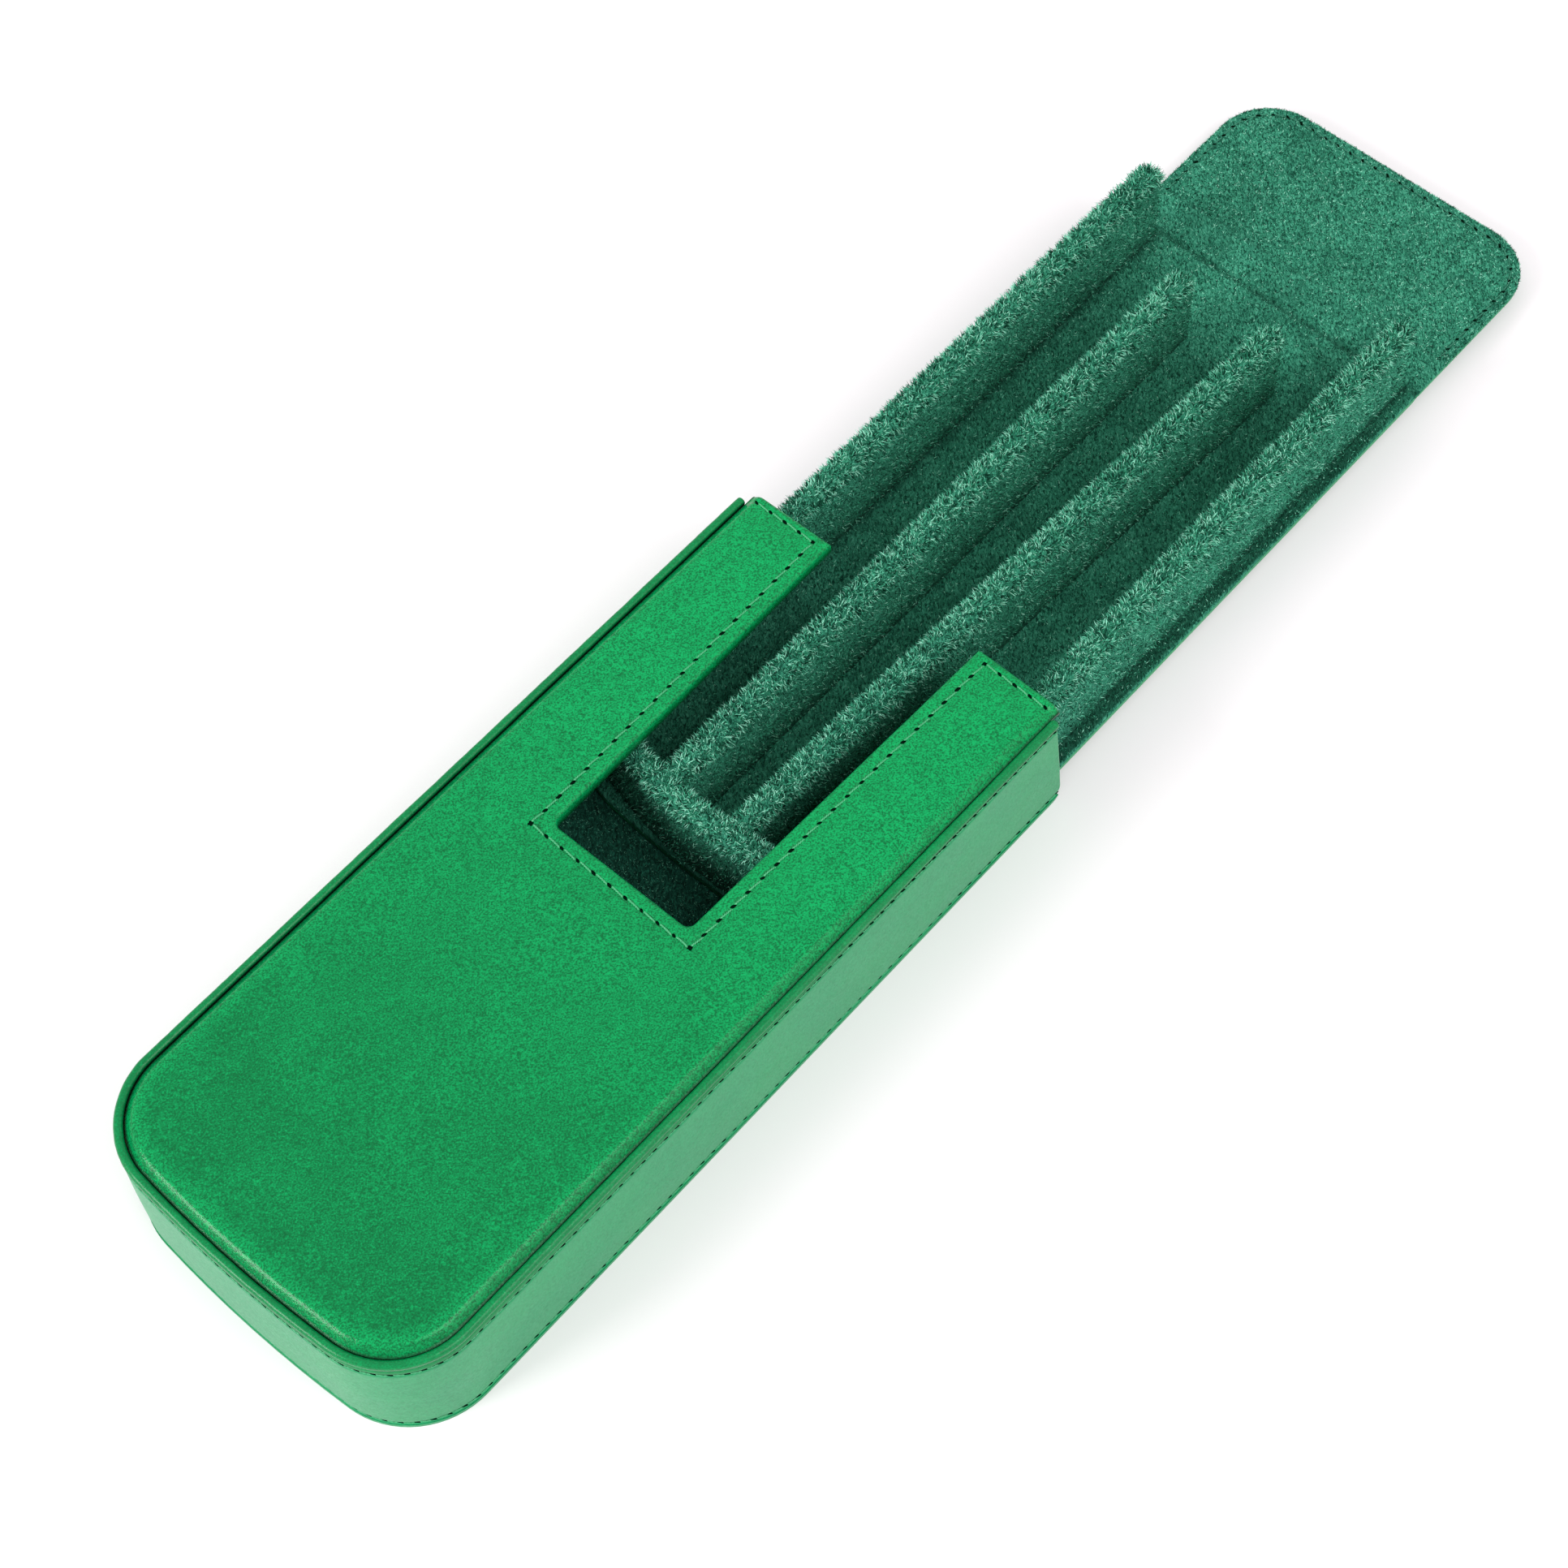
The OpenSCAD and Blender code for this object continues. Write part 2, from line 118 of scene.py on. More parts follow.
class SleeveSizes(bpy.types.PropertyGroup):
    corner_r: length("Corner radius", "Radius of the closed end's corners", 16.2)
    bow_r: length("Bow radius", "Radius of the closed end's bow", 250)
    shoulder_h: length("Shoulder height", "Height that the top turns down over", 1.65)
    shoulder_w: length("Shoulder width", "Width of the shoulder's fine cells", 4.4)
    bank: number("Bank", "Rise of the shoulder's bank for its width", 1.2)
    bend: length("Bend", "Softness of the bend from bank to crown", 0.42)
    gap: length("Groove", "Width of the groove between piping and top", 0.16)
    crown_h: length("Crown height", "Rise of the top above its shoulder", 0.4)
    crown_w: length("Crown width", "Width over which the crown rises", 30)
    notch_len: length("Notch length", "Length of the cut-away from the mouth", 71)
    notch_inner: length("Notch width inside", "Half width of its inner end", 15)
    notch_mouth: length("Notch width at mouth", "Half width of it at the mouth", 16.5)
    notch_r: length("Notch corner", "Radius of its inner corners", 1.5)
    roll_r: length("Rolled edge", "Radius of the edge turned at mouth and cut-away", 0.9)
    press: length("Pressed rim", "How far the sewn rim is pressed down", 0.35)
    press_w: length("Padding start", "Width over which the padding rises", 5)
    notch_seam: length("Notch seam", "From the cut-away's edge to the seam", 2.6)
    mouth_seam: length("Mouth seam", "From the mouth's edge to the seam", 1.7)
    bead_r: length("Bead radius", "Radius of the piping", 0.85)
    bead_z: length("Bead height", "Height of the piping's middle", 25.3)
    band_seam_mouth: length("Upper seam at mouth", "Height of the wall's upper seam", 24)
    band_seam_end: length("Upper seam at end", "The same at the closed end", 22.7)
    foot_seam: length("Foot seam", "Height of the seam along the underside", 1.5)
    mouth_slant: length("Mouth slant", "How far the wall's mouth edge slants back", 2.3)
    mouth_corner_r: length("Mouth corner", "Radius of the mouth's lower corner", 3)


class TraySizes(bpy.types.PropertyGroup):
    wall_t: length("Wall thickness", "Thickness of a covered wall or divider", 4.2)
    wall_corner_r: length("Wall corner", "Radius of the end wall's corners", 9)
    wall_bow_r: length("Wall bow", "Radius of the end wall's bow", 80)
    ridge_end_r: length("Ridge end", "Radius of a ridge's far end in side view", 3)
    left_y: length("Left divider", "Place of the left divider", 8.9)
    right_y_near: length("Right divider, near", "Its place at the end wall", -6)
    right_y_far: length("Right divider, far", "Its place at its far end", -11.4)
    divider_drop: length("Divider drop", "How much lower than walls dividers are", 0.5)
    flap_corner_r: length("Flap corner", "Radius of the flap's free corners", 11.5)
    suede_t: length("Suede thickness", "Thickness of the suede on floor and flap", 0.5)
    leather_t: length("Outer leather", "Thickness of the leather under them", 0.7)
    rim_w: length("Flap rim", "Width of the sewn rim round the flap's board", 2)
    flap_seam: length("Flap seam", "From the flap's edge to its seam", 1.8)
    crease: length("Crease depth", "Depth of the crease between tray and flap", 0.4)
    lumps: length("Suede lumps", "Height of the suede's uneven surface", 0.16)


class NapSizes(bpy.types.PropertyGroup):
    ridge_len: length("Ridge nap", "Length of the fibres on the ridges", 1.35)
    side_len: length("Side nap", "Length of the fibres on the sides", 0.85)
    floor_len: length("Floor nap", "Length of the fibres on floor and flap", 0.6)
    ridge_count: number("Ridge fibres", "Fibres per square millimetre", 9)
    side_count: number("Side fibres", "Fibres per square millimetre", 3.4)
    floor_count: number("Floor fibres", "Fibres per square millimetre", 3)
    flap_count: number("Flap fibres", "Fibres per square millimetre", 7)


class StitchSizes(bpy.types.PropertyGroup):
    pitch: length("Stitch length", "Length of a stitch on the top", 3.5)
    band_pitch: length("Wall stitch length", "Length of a stitch on the wall", 2.6)
    thread_r: length("Thread radius", "Radius of the top's thread", 0.19)
    hole_l: length("Hole length", "Length of a needle hole in the top", 1.15)
    hole_w: length("Hole width", "Width of a needle hole in the top", 0.62)


class CaseColours(bpy.types.PropertyGroup):
    leather: colour("Leather", "Middle of the cover leather", "#007e44")
    leather_light: colour("Leather, pulled", "Cover leather that is stretched", "#06aa5e")
    wall: colour("Wall leather", "Leather of side wall and underside", "#0f965f")
    leather_dark: colour("Leather, grain", "Leather in the grain's creases", "#005a2e")
    suede: colour("Suede", "Middle of the tray's suede", "#35896d")
    suede_light: colour("Suede, raised", "Suede whose nap stands up", "#5cb495")
    suede_dark: colour("Suede, deep", "Suede between its fibres", "#0d4031")
    lining: colour("Lining", "Sleeve lining", "#1b4f3f")
    thread: colour("Thread", "Sewing thread", "#49b27a")
    # Painted shade: near black for the needle holes and for the leather's shaded grooves, seam
    # dips and feet
    hole: colour("Needle hole", "Inside of a needle hole", "#04180e")


class StageSizes(bpy.types.PropertyGroup):
    key: number("Key light", "Power of the large soft lamp", 4.5)
    fill: number("Fill light", "Power of the weaker lamp", 1)
    end: number("End light", "Power of the low lamp at the closed end", 9)
    side: number("Side light", "Power of the low lamp beside the case", 1.2)
    sky: number("Sky", "Strength of the plain surroundings", 0.75)
    glow: number("Floor glow", "Light that the floor adds to its look", 0.16)
    far_glow: number("Far floor glow", "The same far from the case", 0.5)
    azimuth: turn_by("Azimuth", "Camera's turn about Z", -45.767)
    elevation: turn_by("Elevation", "Camera's height angle", 59.704)
    roll: turn_by("Roll", "Camera's turn about its view", -3.295)
    distance: length("Distance", "Camera's distance from its aim", 563.94)
    aim_x: length("Aim X", "X where the camera's axis meets the floor", 50.207)
    aim_y: length("Aim Y", "Y where the camera's axis meets the floor", 2.027)
    # The photo's focal length is 3998.67 of its pixels, and it is 1932 pixels wide
    lens: number("Lens", "Focal length on a 36 mm sensor", 3998.67 / 1932 * 36, "CAMERA")


# ---- Shapes as arrays ----


def mm(*values):
    """Lengths given in millimetres."""
    return np.array(values) * MM


def soft_noise(points, size, seed):
    """Smooth noise from -1 to 1: even random values on a cubic lattice of the given cell
    size, blended in each cell by 3f^2 - 2f^3 of the place f along each axis. A corner's
    value is found by hashing its place into a table."""
    p = np.asarray(points) / size
    cell = np.floor(p).astype(np.int64)
    f = smooth(p - cell)
    table_size = 8192
    table = np.random.default_rng(seed).uniform(-1, 1, table_size)

    def corner(dx, dy, dz):
        key = (cell[..., 0] + dx) * 73856093 ^ (cell[..., 1] + dy) * 19349663
        return table[(key ^ (cell[..., 2] + dz) * 83492791) & (table_size - 1)]

    def blend(a, b, axis):
        return a + (b - a) * f[..., axis]

    def layer(dz):
        near, far = (blend(corner(0, dy, dz), corner(1, dy, dz), 0) for dy in (0, 1))
        return blend(near, far, 1)

    return blend(layer(0), layer(1), 2)


def smooth(t):
    """3t^2 - 2t^3 of t held between 0 and 1."""
    t = np.clip(t, 0, 1)
    return t * t * (3 - 2 * t)


def hump(distance, width):
    """e to the power of minus (distance / width) squared, for a width in millimetres."""
    return np.exp(-((distance / (width * MM)) ** 2))


def ramp(distance, width):
    """smooth of distance / width, for a width in millimetres."""
    return smooth(distance / (width * MM))


def unit(v):
    return v / np.maximum(np.linalg.norm(v, axis=-1, keepdims=True), 1e-12)


def quarter(r, steps):
    """Distances from an edge that divide a quarter-round of radius r evenly: r (1 - cos a)."""
    return r * (1 - np.cos(np.linspace(0, np.pi / 2, steps + 1)))


def rounded(d, r):
    """How far a quarter-round of radius r lies below its top at a distance d from the edge."""
    return r - np.sqrt(r * r - (r - np.clip(d, 0, r)) ** 2)


def spaced(start, stop, step):
    """Even places from start to stop, about one step apart."""
    return np.linspace(start, stop, max(2, int(round(abs(stop - start) / step)) + 1))


def run_along(path):
    """How far along a path each of its points lies."""
    return join([[0], np.cumsum(np.linalg.norm(np.diff(path, axis=0), axis=1))])


def both_sides(path):
    """A path on the +Y side and its end on the X axis, carried on by its mirror image."""
    return join([path, (path * [1, -1])[::-1][1:]])


def corner_place(plan):
    """X of a plan's corner centre, and the angle off the X axis where corner meets bow:
    the arcsine of (half width - corner radius) / (bow radius - corner radius)."""
    half_w, corner_r, bow_r, end_x = plan
    angle = math.asin((half_w - corner_r) / (bow_r - corner_r))
    return end_x + bow_r - (bow_r - corner_r) * math.cos(angle), angle


def u_plan(plan, side_x, step):
    """Edge of a plan with straight sides, rounded corners and a bowed end, from the +Y side
    through side_x, round the end and back, as points and outward normals. Each point is its
    arc's centre plus radius times normal."""
    half_w, corner_r, bow_r, end_x = plan
    corner_x, angle = corner_place(plan)
    square = math.pi / 2
    n_corner = max(6, int(corner_r * (square - angle) / step))
    n_bow = max(4, int(bow_r * angle / step))
    counts = len(side_x), n_corner, n_bow
    round_corner = np.linspace(square, math.pi - angle, n_corner + 1)[1:]
    round_bow = np.linspace(math.pi - angle, math.pi, n_bow + 1)[1:]
    turn = join([np.full(len(side_x), square), round_corner, round_bow])
    centre_x = join([side_x, np.repeat([corner_x, end_x + bow_r], counts[1:])])
    centre_y = np.repeat([half_w - corner_r, half_w - corner_r, 0.0], counts)
    normals = columns([np.cos(turn), np.sin(turn)])
    normals[-1] = -1, 0
    radius = np.repeat([corner_r, corner_r, bow_r], counts)
    points = columns([centre_x, centre_y]) + radius[:, None] * normals
    points[-1, 1] = 0
    return both_sides(points), both_sides(normals)


def plan_inset(x, y, plan):
    """Distance inside a plan's edge: half width - |y| beside the straight sides, the corner
    radius less the distance to the corner's centre, or the bow radius less the distance to
    the bow's centre, whichever edge faces the point."""
    half_w, corner_r, bow_r, end_x = plan
    corner_x, _ = corner_place(plan)
    centre_y, bow_x = half_w - corner_r, end_x + bow_r
    across = np.abs(y)
    side = half_w - across
    bow = bow_r - np.hypot(x - bow_x, y)
    corner = corner_r - np.hypot(x - corner_x, across - centre_y)
    faces_bow = across * (bow_x - corner_x) < centre_y * (bow_x - x)
    return np.where(faces_bow, np.minimum(bow, side), np.where(x > corner_x, side, corner))


def lifted(xy, z):
    """Points of a plan at heights z."""
    return join([xy, z[..., None]], axis=-1)


def flat_normals(normals):
    """A plan's normals as directions in space."""
    return lifted(normals, np.zeros(len(normals)))


def swept(points, normals, out, up):
    """A profile carried along a plan's edge: point + out * normal, at height up."""
    out = np.broadcast_to(out, (len(points), np.shape(out)[-1]))
    xy = points[:, None, :] + out[..., None] * normals[:, None, :]
    return lifted(xy, np.broadcast_to(up, out.shape))


def grid_faces(rows, width, closed):
    """Quads of a grid of points. A closed grid's last column joins its first."""
    i = np.arange(rows - 1)[:, None] * width
    j = np.arange(width if closed else width - 1)[None]
    k = (j + 1) % width
    quads = np.stack([i + j, i + width + j, i + width + k, i + k], axis=-1)
    return quads.reshape(-1, 4)


def closed_sweep(grid):
    """Parts of a solid from a grid whose columns close on themselves. Each end is a ring that
    runs out along one side and back along the other, so a cap joins its point j to the one
    as far from the ring's other end."""
    rows, width = grid.shape[:2]
    j = np.arange(width // 2 - 1)
    cap = columns([j, j + 1, width - 2 - j, width - 1 - j])
    body = grid.reshape(-1, 3), grid_faces(rows, width, True)
    return [body, (grid[0], cap), (grid[-1], cap[:, ::-1])]


def swept_values(values):
    """Numbers on a closed sweep's grid, repeated for its caps."""
    return join([values.ravel(), values[0], values[-1]])


def doubled(values):
    """Columns of an outer face, repeated backwards for the inner face behind it."""
    return join([values, values[:, ::-1]], axis=1)


def repeated(faces, count, size):
    """Faces of one shell of size points, for each of count shells."""
    return (np.arange(count)[:, None, None] * size + faces).reshape(-1, faces.shape[1])


def sheet_part(grid, turned=False):
    quads = grid_faces(grid.shape[0], grid.shape[1], False)
    return grid.reshape(-1, 3), quads[:, ::-1] if turned else quads


def grid_normals(grid):
    """Unit normals of a closed grid: the cross product of its central differences."""
    across = (np.roll(grid, -1, axis=1) - np.roll(grid, 1, axis=1)) / 2
    return unit(np.cross(np.gradient(grid, axis=0), across))


# ---- Meshes ----


def fill_mesh(name, points, quads, tris, slots=None):
    """A smooth mesh from whole arrays of points, quads and triangles. slots gives each quad's
    and then each triangle's material slot."""
    mesh = bpy.data.meshes.new(name)
    loops = join([quads.ravel(), tris.ravel()])
    total = np.repeat([4, 3], [len(quads), len(tris)])
    starts = join([[0], np.cumsum(total)[:-1]])
    mesh.vertices.add(len(points))
    mesh.loops.add(len(loops))
    mesh.polygons.add(len(total))
    mesh.vertices.foreach_set("co", points.astype(np.float32).ravel())
    mesh.loops.foreach_set("vertex_index", loops.astype(np.int32))
    values = {"loop_start": starts, "loop_total": total}
    if slots is not None:
        values["material_index"] = join(slots)
    for key, numbers in values.items():
        mesh.polygons.foreach_set(key, numbers.astype(np.int32))
    mesh.polygons.foreach_set("use_smooth", np.ones(len(total), bool))
    mesh.update(calc_edges=True)
    return mesh


def place_piece(name, mesh, body, materials):
    """A piece that rides on a body; given a fold instead of a body's name, its transform is only
    applied, and it does not bend.
    """
    piece = bpy.data.objects.new(name, mesh)
    bpy.context.scene.collection.objects.link(piece)
    for material in materials:
        mesh.materials.append(material)
    if isinstance(body, str):
        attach(piece, body)
    if not isinstance(body, str):
        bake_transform(piece)
    return piece


def make_piece(name, parts, body, slot, material, **fields):
    """One closed piece from parts of points and quads. Points that coincide become one, a
    quad that loses a corner becomes a triangle, and a shell whose signed volume (the sum of
    a . (b x c) / 6 over its triangles) is negative is turned. fields are numbers per point that
    materials read: pale where a skin takes its second colour, mostly where it is stretched,
    shade where painted shade darkens it in creases and at feet, and polish where hands have
    rubbed it smooth."""
    same = 0.002 * MM
    offset = np.cumsum([0] + [len(p) for p, _ in parts[:-1]])
    points = join([p for p, _ in parts])
    faces = join([f + o for (_, f), o in zip(parts, offset)])
    places = np.round(points / same).astype(np.int64)
    _, first, index = np.unique(places, axis=0, return_index=True, return_inverse=True)
    points = points[first]
    faces = index.reshape(-1)[faces]
    double = faces == np.roll(faces, -1, axis=1)
    quads = faces[~double.any(axis=1)]
    thin = double.sum(axis=1) == 1
    tris = faces[thin][~double[thin]].reshape(-1, 3)
    quads = quads[(quads[:, 0] != quads[:, 2]) & (quads[:, 1] != quads[:, 3])]
    corners = join([quads[:, [0, 1, 2]], quads[:, [0, 2, 3]], tris])
    a, b, c = (points[corners[:, k]] for k in range(3))
    if np.einsum("ij,ij->", a, np.cross(b, c)) < 0:
        quads, tris = quads[:, ::-1], tris[:, ::-1]
    mesh = fill_mesh(name, points, quads, tris)
    for field, values in fields.items():
        values = np.clip(values, 0, 1)[first].astype(np.float32)
        mesh.attributes.new(field, "FLOAT", "POINT").data.foreach_set("value", values)
    return place_piece(name, mesh, body, [material])


# ---- Materials ----


def add(tree, kind, inputs=(), output=0, **settings):
    """Adds a node, sets its properties, sets or links its inputs, which are given in their
    order or by name, and returns one of its outputs."""
    node = tree.nodes.new("ShaderNode" + kind)
    for key, value in settings.items():
        setattr(node, key, value)
    for key, value in inputs.items() if isinstance(inputs, dict) else enumerate(inputs):
        if isinstance(value, bpy.types.NodeSocket):
            tree.links.new(value, node.inputs[key])
        else:
            node.inputs[key].default_value = value
    return node.outputs[output]


def start_material(name, constants):
    """A material whose Principled shader has these constant values; returns it, its tree,
    its shader's inputs and its Object coordinates."""
    material = bpy.data.materials.new(name)
    material.use_nodes = True
    tree = material.node_tree
    inputs = tree.nodes["Principled BSDF"].inputs
    for key, value in constants.items():
        inputs[key].default_value = value
    return material, tree, inputs, add(tree, "TexCoord", output="Object")


def rgba(value):
    return (*value[:3], 1.0)


def dress(tree, shader, tone, layers, height=None, strength=0.0, depth=0.0):
    """Lays colours over a tone, and a relief of this depth in millimetres where there is a
    height. A layer is a pattern, the two values between which it counts, the layer's strength
    at each of them, and its colour; without those values its pattern is its strength."""
    for pattern, *values, layer in layers:
        if values:
            pattern = add(tree, "MapRange", (pattern, *values))
        tone = add(tree, "Mix", {0: pattern, 6: tone, 7: rgba(layer)}, 2, data_type="RGBA")
    tree.links.new(tone, shader["Base Color"])
    if height:
        inputs = {"Height": height, "Strength": strength, "Distance": depth * MM}
        tree.links.new(add(tree, "Bump", inputs), shader["Normal"])


def add_leather(name, middle, stretched, grain, level, rough, relief, mottle):
    """Smooth pull-up leather: vegetable-tanned hide, dyed through and waxed, whose colour
    pales where it is stretched, is blotched at a few millimetres and stays darker in its
    fine creases. grain is the width of a crease and relief its depth, in millimetres, and
    mottle scales the contrast of blotches and creases."""
    c = bpy.context.scene.case_colours
    constants = {"IOR": 1.48, "Specular IOR Level": level}
    material, tree, shader, place = start_material(name, constants)
    pale, shade, polish = (
        add(tree, "Attribute", output="Fac", attribute_name=field)
        for field in ("pale", "shade", "polish")
    )
    clouds = add(tree, "TexNoise", {"Vector": place, "Scale": 1 / (12 * MM)})
    inputs = {"Vector": place, "Scale": 1 / (3.2 * MM), "Detail": 4}
    blotches = add(tree, "TexNoise", {**inputs, "Roughness": 0.6, "Distortion": 1})
    # Creases lie half a millimetre apart and are longest across the hide
    inputs = {"Vector": place, "Rotation": (0, 0, math.radians(-45)), "Scale": (2.0, 0.9, 1.2)}
    along = add(tree, "Mapping", inputs, vector_type="TEXTURE")
    inputs = {"Vector": along, "Scale": 1 / (grain * MM), "Detail": 3}
    creases = add(tree, "TexNoise", {**inputs, "Roughness": 0.65, "Distortion": 1.2})
    pores = add(tree, "TexNoise", {"Vector": place, "Scale": 1 / (0.3 * MM), "Detail": 1})
    fine = add(tree, "Math", (creases, 0.8, pores), operation="MULTIPLY_ADD")
    layers = (
        (pale, stretched),
        (clouds, 0.4, 0.65, 0, 0.22, c.leather_light),
        (blotches, 0.38, 0.62, 0.24 * mottle, 0, c.leather_dark),
        (fine, 0.72, 1, mottle, 0, c.leather_dark),
        (fine, 1, 1.2, 0, 0.7 * mottle, c.leather_light),
        # Painted shade: the shade field turns the leather near black in its groove, seam dips and
        # foot
        (shade, c.hole),
    )
    dress(tree, shader, rgba(middle), layers, fine, 0.6, relief)
    # Where hands have polished it, at the bend of the shoulder, it is smoother
    worn = add(tree, "MapRange", (creases, 0.3, 0.7, rough + 0.08, rough - 0.06))
    share = add(tree, "MapRange", (polish, 0, 1, 1, 0.6))
    worn = add(tree, "Math", (worn, share), operation="MULTIPLY")
    tree.links.new(worn, shader["Roughness"])
    return material


def add_suede(name, base, light, dark, fleck, depth):
    """Split suede: the napped flesh side, a mat of fibres that stand, lie and clump, so its
    colour is flecked at about half a millimetre and clouded where a hand has brushed it.
    fleck is the size of a fleck and depth its relief, in millimetres."""
    constants = {"IOR": 1.4, "Specular IOR Level": 0.1, "Roughness": 0.95}
    sheen = {"Sheen Weight": 0.2, "Sheen Roughness": 0.6, "Sheen Tint": rgba(light)}
    material, tree, shader, place = start_material(name, {**constants, **sheen})
    shade = add(tree, "Attribute", output="Fac", attribute_name="shade")
    # Stretched along 45 degrees in the plan, the way the nap has been brushed
    inputs = {"Vector": place, "Rotation": (0, 0, math.radians(45)), "Scale": (1.9, 0.9, 1.2)}
    brushed = add(tree, "Mapping", inputs, vector_type="TEXTURE")
    inputs = {"Vector": brushed, "Scale": 1 / (fleck * MM), "Detail": 3}
    flecks = add(tree, "TexNoise", {**inputs, "Roughness": 0.75, "Distortion": 0.8})
    inputs = {"Vector": place, "Scale": 1 / (6 * MM), "Detail": 3}
    clouds = add(tree, "TexNoise", {**inputs, "Roughness": 0.6, "Distortion": 0.5})
    layers = (
        (flecks, 0.41, 0.49, 0, 1, base),
        (flecks, 0.53, 0.64, 0, 1, light),
        (clouds, 0.38, 0.58, 0.35, 0, dark),
        # Painted shade: the shade field turns the suede almost black at wall feet, in the crease
        # and under the sleeve
        (shade, np.array(dark[:3]) * 0.3),
    )
    dress(tree, shader, rgba(dark), layers, flecks, 0.9, depth)
    return material


def add_fibre_shades(name, codes):
    """Plain shades of one fibre: neighbouring fibres differ as dyed hide does, and the darkest
    and palest shades are painted shade and painted highlight.
    """
    constants = {"Roughness": 0.85, "Specular IOR Level": 0.15, "IOR": 1.45}
    return [
        start_material(f"{name}_{k + 1}", {"Base Color": rgba(linear(code)), **constants})[0]
        for k, code in enumerate(codes)
    ]


def add_board(name, code):
    """Pulped or spun fibre, with short darker and paler strands."""
    constants = {"Roughness": 0.9, "Specular IOR Level": 0.2}
    material, tree, shader, place = start_material(name, constants)
    inputs = {"Vector": place, "Scale": 1 / (1.2 * MM), "Detail": 3}
    strands = add(tree, "TexNoise", {**inputs, "Roughness": 0.6, "Distortion": 1})
    base = np.array(linear(code))
    layers = ((strands, 0.35, 0.65, 0, 1, base * 1.2),)
    dress(tree, shader, rgba(base * 0.75), layers, strands, 0.3, 0.05)
    return material


def add_thread(name, value):
    """Waxed polyester sewing thread, with a mild gloss on the crowns of its plies."""
    constants = {"Roughness": 0.45, "Specular IOR Level": 0.5}
    material, tree, shader, place = start_material(name, constants)
    inputs = {"Vector": place, "Scale": 1 / (0.15 * MM), "Detail": 1}
    hairs = add(tree, "TexNoise", inputs)
    value = np.array(value[:3])
    layers = ((hairs, 0.35, 0.65, 0, 1, np.minimum(value * 1.15, 1)),)
    dress(tree, shader, rgba(value * 0.7), layers)
    return material


def add_hole(name, value):
    """Painted shade for a needle hole: a near-black lens that gives nothing back, standing for
    the hole's dark inside.
    """
    constants = {"Base Color": rgba(value), "Roughness": 0.9, "Specular IOR Level": 0.0}
    return start_material(name, constants)[0]


def finish(name):
    """The named material, made the first time that it is asked for."""
    c = bpy.context.scene.case_colours
    lining = np.array(c.lining[:3])
    makers = {
        # Middle and stretched colour, grain, specular level, roughness, relief, mottle
        "pull_up_leather_polished": (
            add_leather, c.leather, c.leather_light, 0.45, 0.2, 0.26, 0.06, 0.85
        ),
        # On the wall the second colour is the top's green, which the upward-facing lip gets as
        # painted light
        "pull_up_leather_wall": (add_leather, c.wall, c.leather, 0.5, 0.34, 0.34, 0.015, 0.3),
        "pull_up_leather_piping": (add_leather, c.leather, c.leather, 0.5, 0.25, 0.24, 0.03, 0.5),
        # Base, raised and deep colour, size of a fleck, relief
        "split_suede_napped": (add_suede, c.suede, c.suede_light, c.suede_dark, 0.42, 0.25),
        "split_suede_lining": (add_suede, lining, lining * 2.6, lining * 0.35, 0.5, 0.2),
        "pasteboard_grey": (add_board, "#a08a66"),
        "cotton_cord": (add_board, "#d9cfae"),
        "waxed_thread": (add_thread, c.thread),
        "waxed_thread_on_suede": (add_thread, c.suede),
        "needle_hole_shadow": (add_hole, c.hole),
    }
    if name not in bpy.data.materials:
        maker, *values = makers[name]
        maker(name, *values)
    return bpy.data.materials[name]


# ---- The padded top ----


def waves(points, *layers):
    """Layers of noise added up, each with its height, its size in millimetres and its seed."""
    return sum(height * soft_noise(points, size * MM, seed) for height, size, seed in layers)


def top_plan(s):
    """The padded top's plan, which lies inside the piping."""
    inset = s.bead_r * 2 + 0.1 * MM
    return TOP_HIGH[1], s.corner_r - inset, s.bow_r - inset, TOP_LOW[0]


def notch_half_width(x, s):
    """Half width of the cut-away: it widens evenly from its inner corners to the mouth."""
    start = MOUTH_X - s.notch_len + s.notch_r
    return s.notch_inner + (s.notch_mouth - s.notch_inner) * (x - start) / (MOUTH_X + MM - start)


def notch_distance(x, y, s):
    """Distance outside the cut-away's edge: beside its straight side, |y| less its half
    width; past its inner end, how far x lies before it; round a corner, the distance to the
    corner's centre less its radius."""
    start = MOUTH_X - s.notch_len
    centre_x, centre_y = start + s.notch_r, s.notch_inner - s.notch_r
    across = np.abs(y)
    corner = np.hypot(x - centre_x, across - centre_y) - s.notch_r
    before = np.where(across > centre_y, corner, start - x)
    return np.where(x >= centre_x, across - notch_half_width(x, s), before)


def top_shape(x, y, s):
    """Height of the padded top, and how far each point is in the pressed rim, 0 to 1. From
    its outer edge it rises over a bank that bends into a parabolic crown; bank and crown meet
    in a soft minimum, -b ln(e^(-rise/b) + e^(-height/b)). Along mouth and cut-away a rolled
    edge turns it down, the rim up to the seam is pressed flat, the padding rises behind the
    seam, and the seam itself pulls a narrow groove."""
    low, groove = TOP_LOW[2] + 0.55 * MM, 0.22 * MM
    edge = plan_inset(x, y, top_plan(s))
    rise = np.clip(edge - s.gap, 0, None) * s.bank
    z = low - s.bend * np.log(np.exp(-rise / s.bend) + math.exp(-s.shoulder_h / s.bend))
    z = z + s.crown_h * (1 - (1 - np.clip(edge / s.crown_w, 0, 1)) ** 2)
    notch, mouth = notch_distance(x, y, s), MOUTH_X - x
    seam = np.minimum(notch - s.notch_seam, mouth - s.mouth_seam)
    pressed = 1 - smooth(seam / s.press_w)
    flat = ramp(edge, 3)
    place = np.stack([x, y, z], axis=-1)
    z = z - s.press * pressed * flat - groove * hump(seam, 0.42) * smooth(edge / MM)
    z = z + waves(place, (0.07, 9, 3), (0.03, 3, 4)) * MM * flat
    return z - rounded(np.minimum(notch, mouth), s.roll_r), pressed * flat


